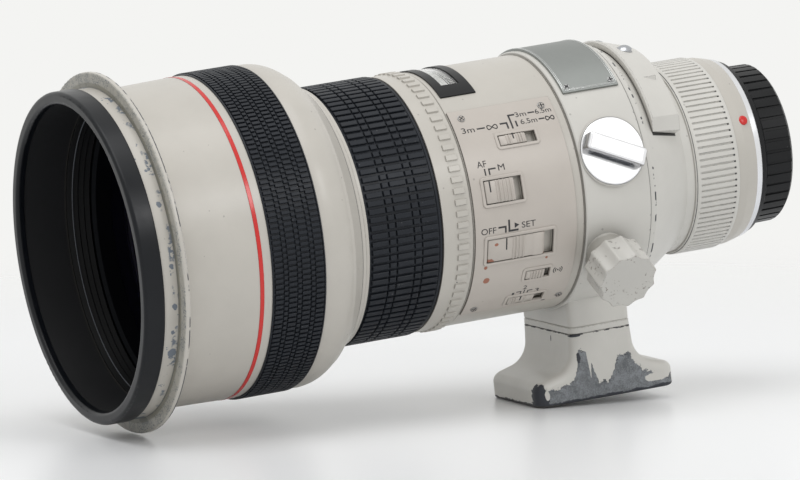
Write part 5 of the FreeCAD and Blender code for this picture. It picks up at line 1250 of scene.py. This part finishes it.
class LENS_OT_fluted_knob(bpy.types.Operator):
    """Lock knob with a fluted skirt that reaches over its boss"""

    bl_idname = "lens.fluted_knob"
    bl_label = "Lock knob"

    def execute(self, context):
        out, along, up = outward(KNOB_TURN)
        face, reach, flutes, count = 66.3, 11.2, 11, 220
        rings = []
        for radius, level, fluted in ((8.3, 55.6, 0.0), (8.3, 53.3, 0.0), (reach - 0.5, 53.3, 0.8),
                                      (reach - 0.1, 53.7, 1.0), (reach, 54.5, 1.0), (reach, face - 0.5, 1.0),
                                      (reach - 0.1, face - 0.2, 1.0), (reach - 0.35, face, 0.95),
                                      (reach - 2.2, face, 0.4), (reach - 3.4, face, 0.0), (2.0, face, 0.0)):
            ring = []
            for i in range(count):
                turn = 2 * pi * i / count
                dip = 0.95 * max(0.0, abs(cos(turn * flutes / 2)) - 0.1) / 0.9
                size = radius - dip * fluted
                ring.append(along * (KNOB_STATION + size * cos(turn)) + up * size * sin(turn) + out * level)
            rings.append(ring)
        shape = Shape()
        shape.loft(rings)
        piece = shape.piece("fluted_knob", "knob_paint", "lock_knob", "collar_paint", 40)
        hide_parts("lock_knob")
        return {"FINISHED"}


class LENS_OT_index_dome(bpy.types.Operator):
    """Red dome that shows where the lens goes into the camera"""

    bl_idname = "lens.index_dome"
    bl_label = "Index dome"

    def execute(self, context):
        low, high = box("index_dot")
        x, y, z = [(a + b) / 2 for a, b in zip(low, high)]
        out, along, up = outward(degrees(atan2(-y, -z)))
        reach = (high[0] - low[0]) / 2
        seat = along * x + out * hypot(y, z)
        levels = [(reach, -0.5), (reach, 0.0)]
        for step in (15, 32, 50, 68, 82):
            slope = radians(step)
            levels.append((reach * cos(slope), 0.55 * sin(slope)))
        turns = [2 * pi * i / 32 for i in range(32)]
        shape = Shape()
        shape.loft([[seat + out * rise + along * cos(turn) * radius + up * sin(turn) * radius
                     for turn in turns] for radius, rise in levels])
        piece = shape.piece("index_dome", "red_paint", "barrel", "red_paint", 60)
        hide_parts("index_dot")
        return {"FINISHED"}


def lug_station(side):
    low, high = box("strap_lug_" + side)
    return (low[0] + high[0]) / 2


class LENS_OT_strap_seats(bpy.types.Operator):
    """Painted ring round the foot of each strap lug"""

    bl_idname = "lens.strap_seats"
    bl_label = "Strap lug seats"

    def execute(self, context):
        for side, angle in LUG_TURNS.items():
            out, along, across = outward(angle)
            station = lug_station(side)
            shape = Shape()
            shape.turn([(44.6, 12.26), (47.15, 12.26), (47.25, 12.4), (47.0, 12.62), (44.6, 12.66)], count=96)
            shape.points = [out * u + along * (station + v) + across * w for u, v, w in shape.points]
            shape.piece("strap_seat_" + side, "collar_paint", "tripod_collar", "collar_paint", 40)
        return {"FINISHED"}


class LENS_OT_strap_knurl(bpy.types.Operator):
    """Finely knurled seat under the bar of each strap lug"""

    bl_idname = "lens.strap_knurl"
    bl_label = "Strap lug knurl"

    def execute(self, context):
        for side, angle in LUG_TURNS.items():
            out, along, up = outward(angle)
            if up.z < 0:
                up = -up
            way = radians(-26.0)
            run = along * cos(way) + up * sin(way)
            rise = up * cos(way) - along * sin(way)
            centre = along * lug_station(side) + out * 47.8
            shape = Shape()
            count, pitch, slant, half, low, high = 36, 0.5, 0.35, 0.15, -3.9, -2.5
            for i in range(count):
                x = (i - (count - 1) / 2) * pitch
                shape.loft([[centre + run * u + rise * v + out * level for u, v in (
                    (x - half + grow, low + grow), (x + half - grow, low + grow),
                    (x + half - grow + slant, high - grow), (x - half + grow + slant, high - grow))]
                    for grow, level in ((0.0, -0.1), (0.0, 0.12), (0.06, 0.2))])
            shape.piece("strap_knurl_" + side, "knurled_steel", "tripod_collar", "chrome_metal", 30)
        return {"FINISHED"}


class LENS_OT_studio(bpy.types.Operator):
    """Camera, lamps, pale floor and world"""

    bl_idname = "lens.studio"
    bl_label = "Studio"

    def execute(self, context):
        stage = context.scene.lens_stage
        self.camera(context, stage)
        self.lamp(context, "key_lamp", (-0.25, -0.25, 1.25), (1.0, 1.0), stage.key)
        self.lamp(context, "side_lamp", (0.28, -1.1, 0.68), (0.26, 0.36), stage.side)
        self.floor()
        self.world(context, stage)
        context.scene.view_settings.view_transform = "Standard"
        return {"FINISHED"}

    def camera(self, context, stage):
        azimuth, elevation, roll = stage.azimuth, stage.elevation, stage.roll
        back = Vector((sin(azimuth) * cos(elevation), -cos(azimuth) * cos(elevation),
                       sin(elevation)))
        right = Vector((cos(azimuth), sin(azimuth), 0.0))
        up = back.cross(right)
        across = right * cos(roll) + up * sin(roll)
        above = up * cos(roll) - right * sin(roll)
        data = bpy.data.cameras.new("camera")
        data.sensor_width = 36.0
        data.lens = stage.focal_length
        data.clip_end = 20.0
        camera = bpy.data.objects.new("camera", data)
        turn = Matrix((across, above, back)).transposed().to_4x4()
        camera.matrix_world = Matrix.Translation(stage.place) @ turn
        context.scene.collection.objects.link(camera)
        context.scene.camera = camera

    def lamp(self, context, name, place, size, power):
        """A soft box that points at the middle of the lens."""
        data = bpy.data.lights.new(name, "AREA")
        data.shape = "RECTANGLE"
        data.size, data.size_y = size
        data.energy = power
        lamp = bpy.data.objects.new(name, data)
        aim = (Vector(LENS_MIDDLE) - Vector(place)).to_track_quat("-Z", "Y")
        lamp.matrix_world = Matrix.Translation(place) @ aim.to_matrix().to_4x4()
        context.scene.collection.objects.link(lamp)

    def floor(self):
        """A round floor on which the flange and the foot's heel rest."""
        heel, flange = box("tripod_foot")[0], box("hood_flange_ring")[0]
        first = Vector((flange[0] + 1.1, 0.0, flange[2]))
        second = Vector((heel[0], 0.0, heel[2]))
        along = (second - first).normalized()
        across = Vector((0.0, 1.0, 0.0))
        normal = along.cross(across)
        if normal.z < 0:
            normal = -normal
        centre = (first + second) / 2
        shape = Shape()
        turns = [2 * pi * i / 96 for i in range(96)]
        shape.loft([[centre + (along * cos(turn) + across * sin(turn)) * reach - normal * 0.05
                     for turn in turns] for reach in (50, 100, 200, 300, 400, 500, 620)], caps=False)
        shape.faces.append(tuple(range(len(turns))))
        self.floor_finish(metres(centre))
        floor = shape.make("floor", "studio_floor")

    def floor_finish(self, centre):
        """A pale floor that fades out towards its edge."""
        finish = Finish("studio_floor", Roughness=0.3)
        finish.set("Base Color", opaque(colours().floor))
        reach = finish.vector("LENGTH", finish.vector("SUBTRACT", finish.spot(), centre))
        clear = finish.add("BsdfTransparent")
        blend = finish.add("MixShader", {0: finish.step(reach, 0.25, 0.6), 1: finish.shader.outputs[0],
                                         2: clear.outputs[0]})
        finish.put(blend.outputs[0], finish.tree.nodes["Material Output"].inputs["Surface"])

    def world(self, context, stage):
        """Even light from all round, and a pale backdrop for what the camera and mirrors see."""
        world = bpy.data.worlds.new("studio_world")
        world.use_nodes = True
        context.scene.world = world
        graph = Graph(world.node_tree)
        light = world.node_tree.nodes["Background"]
        light.inputs["Color"].default_value = (1.0, 1.0, 1.0, 1.0)
        light.inputs["Strength"].default_value = stage.sky
        shown = graph.add("Background", {"Color": opaque(colours().backdrop), "Strength": 1.0})
        path = graph.add("LightPath").outputs
        seen = graph.math("MAXIMUM", path["Is Camera Ray"], path["Is Glossy Ray"])
        seen = graph.math("MAXIMUM", seen, path["Is Transmission Ray"])
        blend = graph.add("MixShader", {0: seen, 1: light.outputs[0], 2: shown.outputs[0]})
        graph.put(blend.outputs[0], world.node_tree.nodes["World Output"].inputs["Surface"])


PIECES = (
    LENS_OT_effects, LENS_OT_finishes, LENS_OT_front_grip, LENS_OT_focus_grip, LENS_OT_panel_marks,
    LENS_OT_thumbs, LENS_OT_distance_marks, LENS_OT_window_band, LENS_OT_plate_border, LENS_OT_screw_heads,
    LENS_OT_joint_shade_rings, LENS_OT_fluted_knob, LENS_OT_index_dome, LENS_OT_strap_seats, LENS_OT_strap_knurl,
    LENS_OT_studio,
)


class LENS_PT_pieces(bpy.types.Panel):
    """Lists the pieces of the lens"""

    bl_label = "Telephoto lens"
    bl_idname = "LENS_PT_pieces"
    bl_space_type = "VIEW_3D"
    bl_region_type = "UI"
    bl_category = "Lens"

    def draw(self, context):
        for piece in PIECES:
            self.layout.operator(piece.bl_idname)
        for group in (context.scene.lens_colours, context.scene.lens_grips, context.scene.lens_stage):
            column = self.layout.column()
            for key in group.bl_rna.properties.keys():
                if key not in ("rna_type", "name"):
                    column.prop(group, key)


CLASSES = (LensColours, LensGrips, LensStage) + PIECES + (LENS_PT_pieces,)


def register():
    for item in CLASSES:
        bpy.utils.register_class(item)
    bpy.types.Scene.lens_colours = bpy.props.PointerProperty(type=LensColours)
    bpy.types.Scene.lens_grips = bpy.props.PointerProperty(type=LensGrips)
    bpy.types.Scene.lens_stage = bpy.props.PointerProperty(type=LensStage)


def unregister():
    del bpy.types.Scene.lens_colours
    del bpy.types.Scene.lens_grips
    del bpy.types.Scene.lens_stage
    for item in reversed(CLASSES):
        bpy.utils.unregister_class(item)


def main():
    register()
    for piece in PIECES:
        group, name = piece.bl_idname.split(".")
        getattr(getattr(bpy.ops, group), name)()


if __name__ == "__main__":
    main()
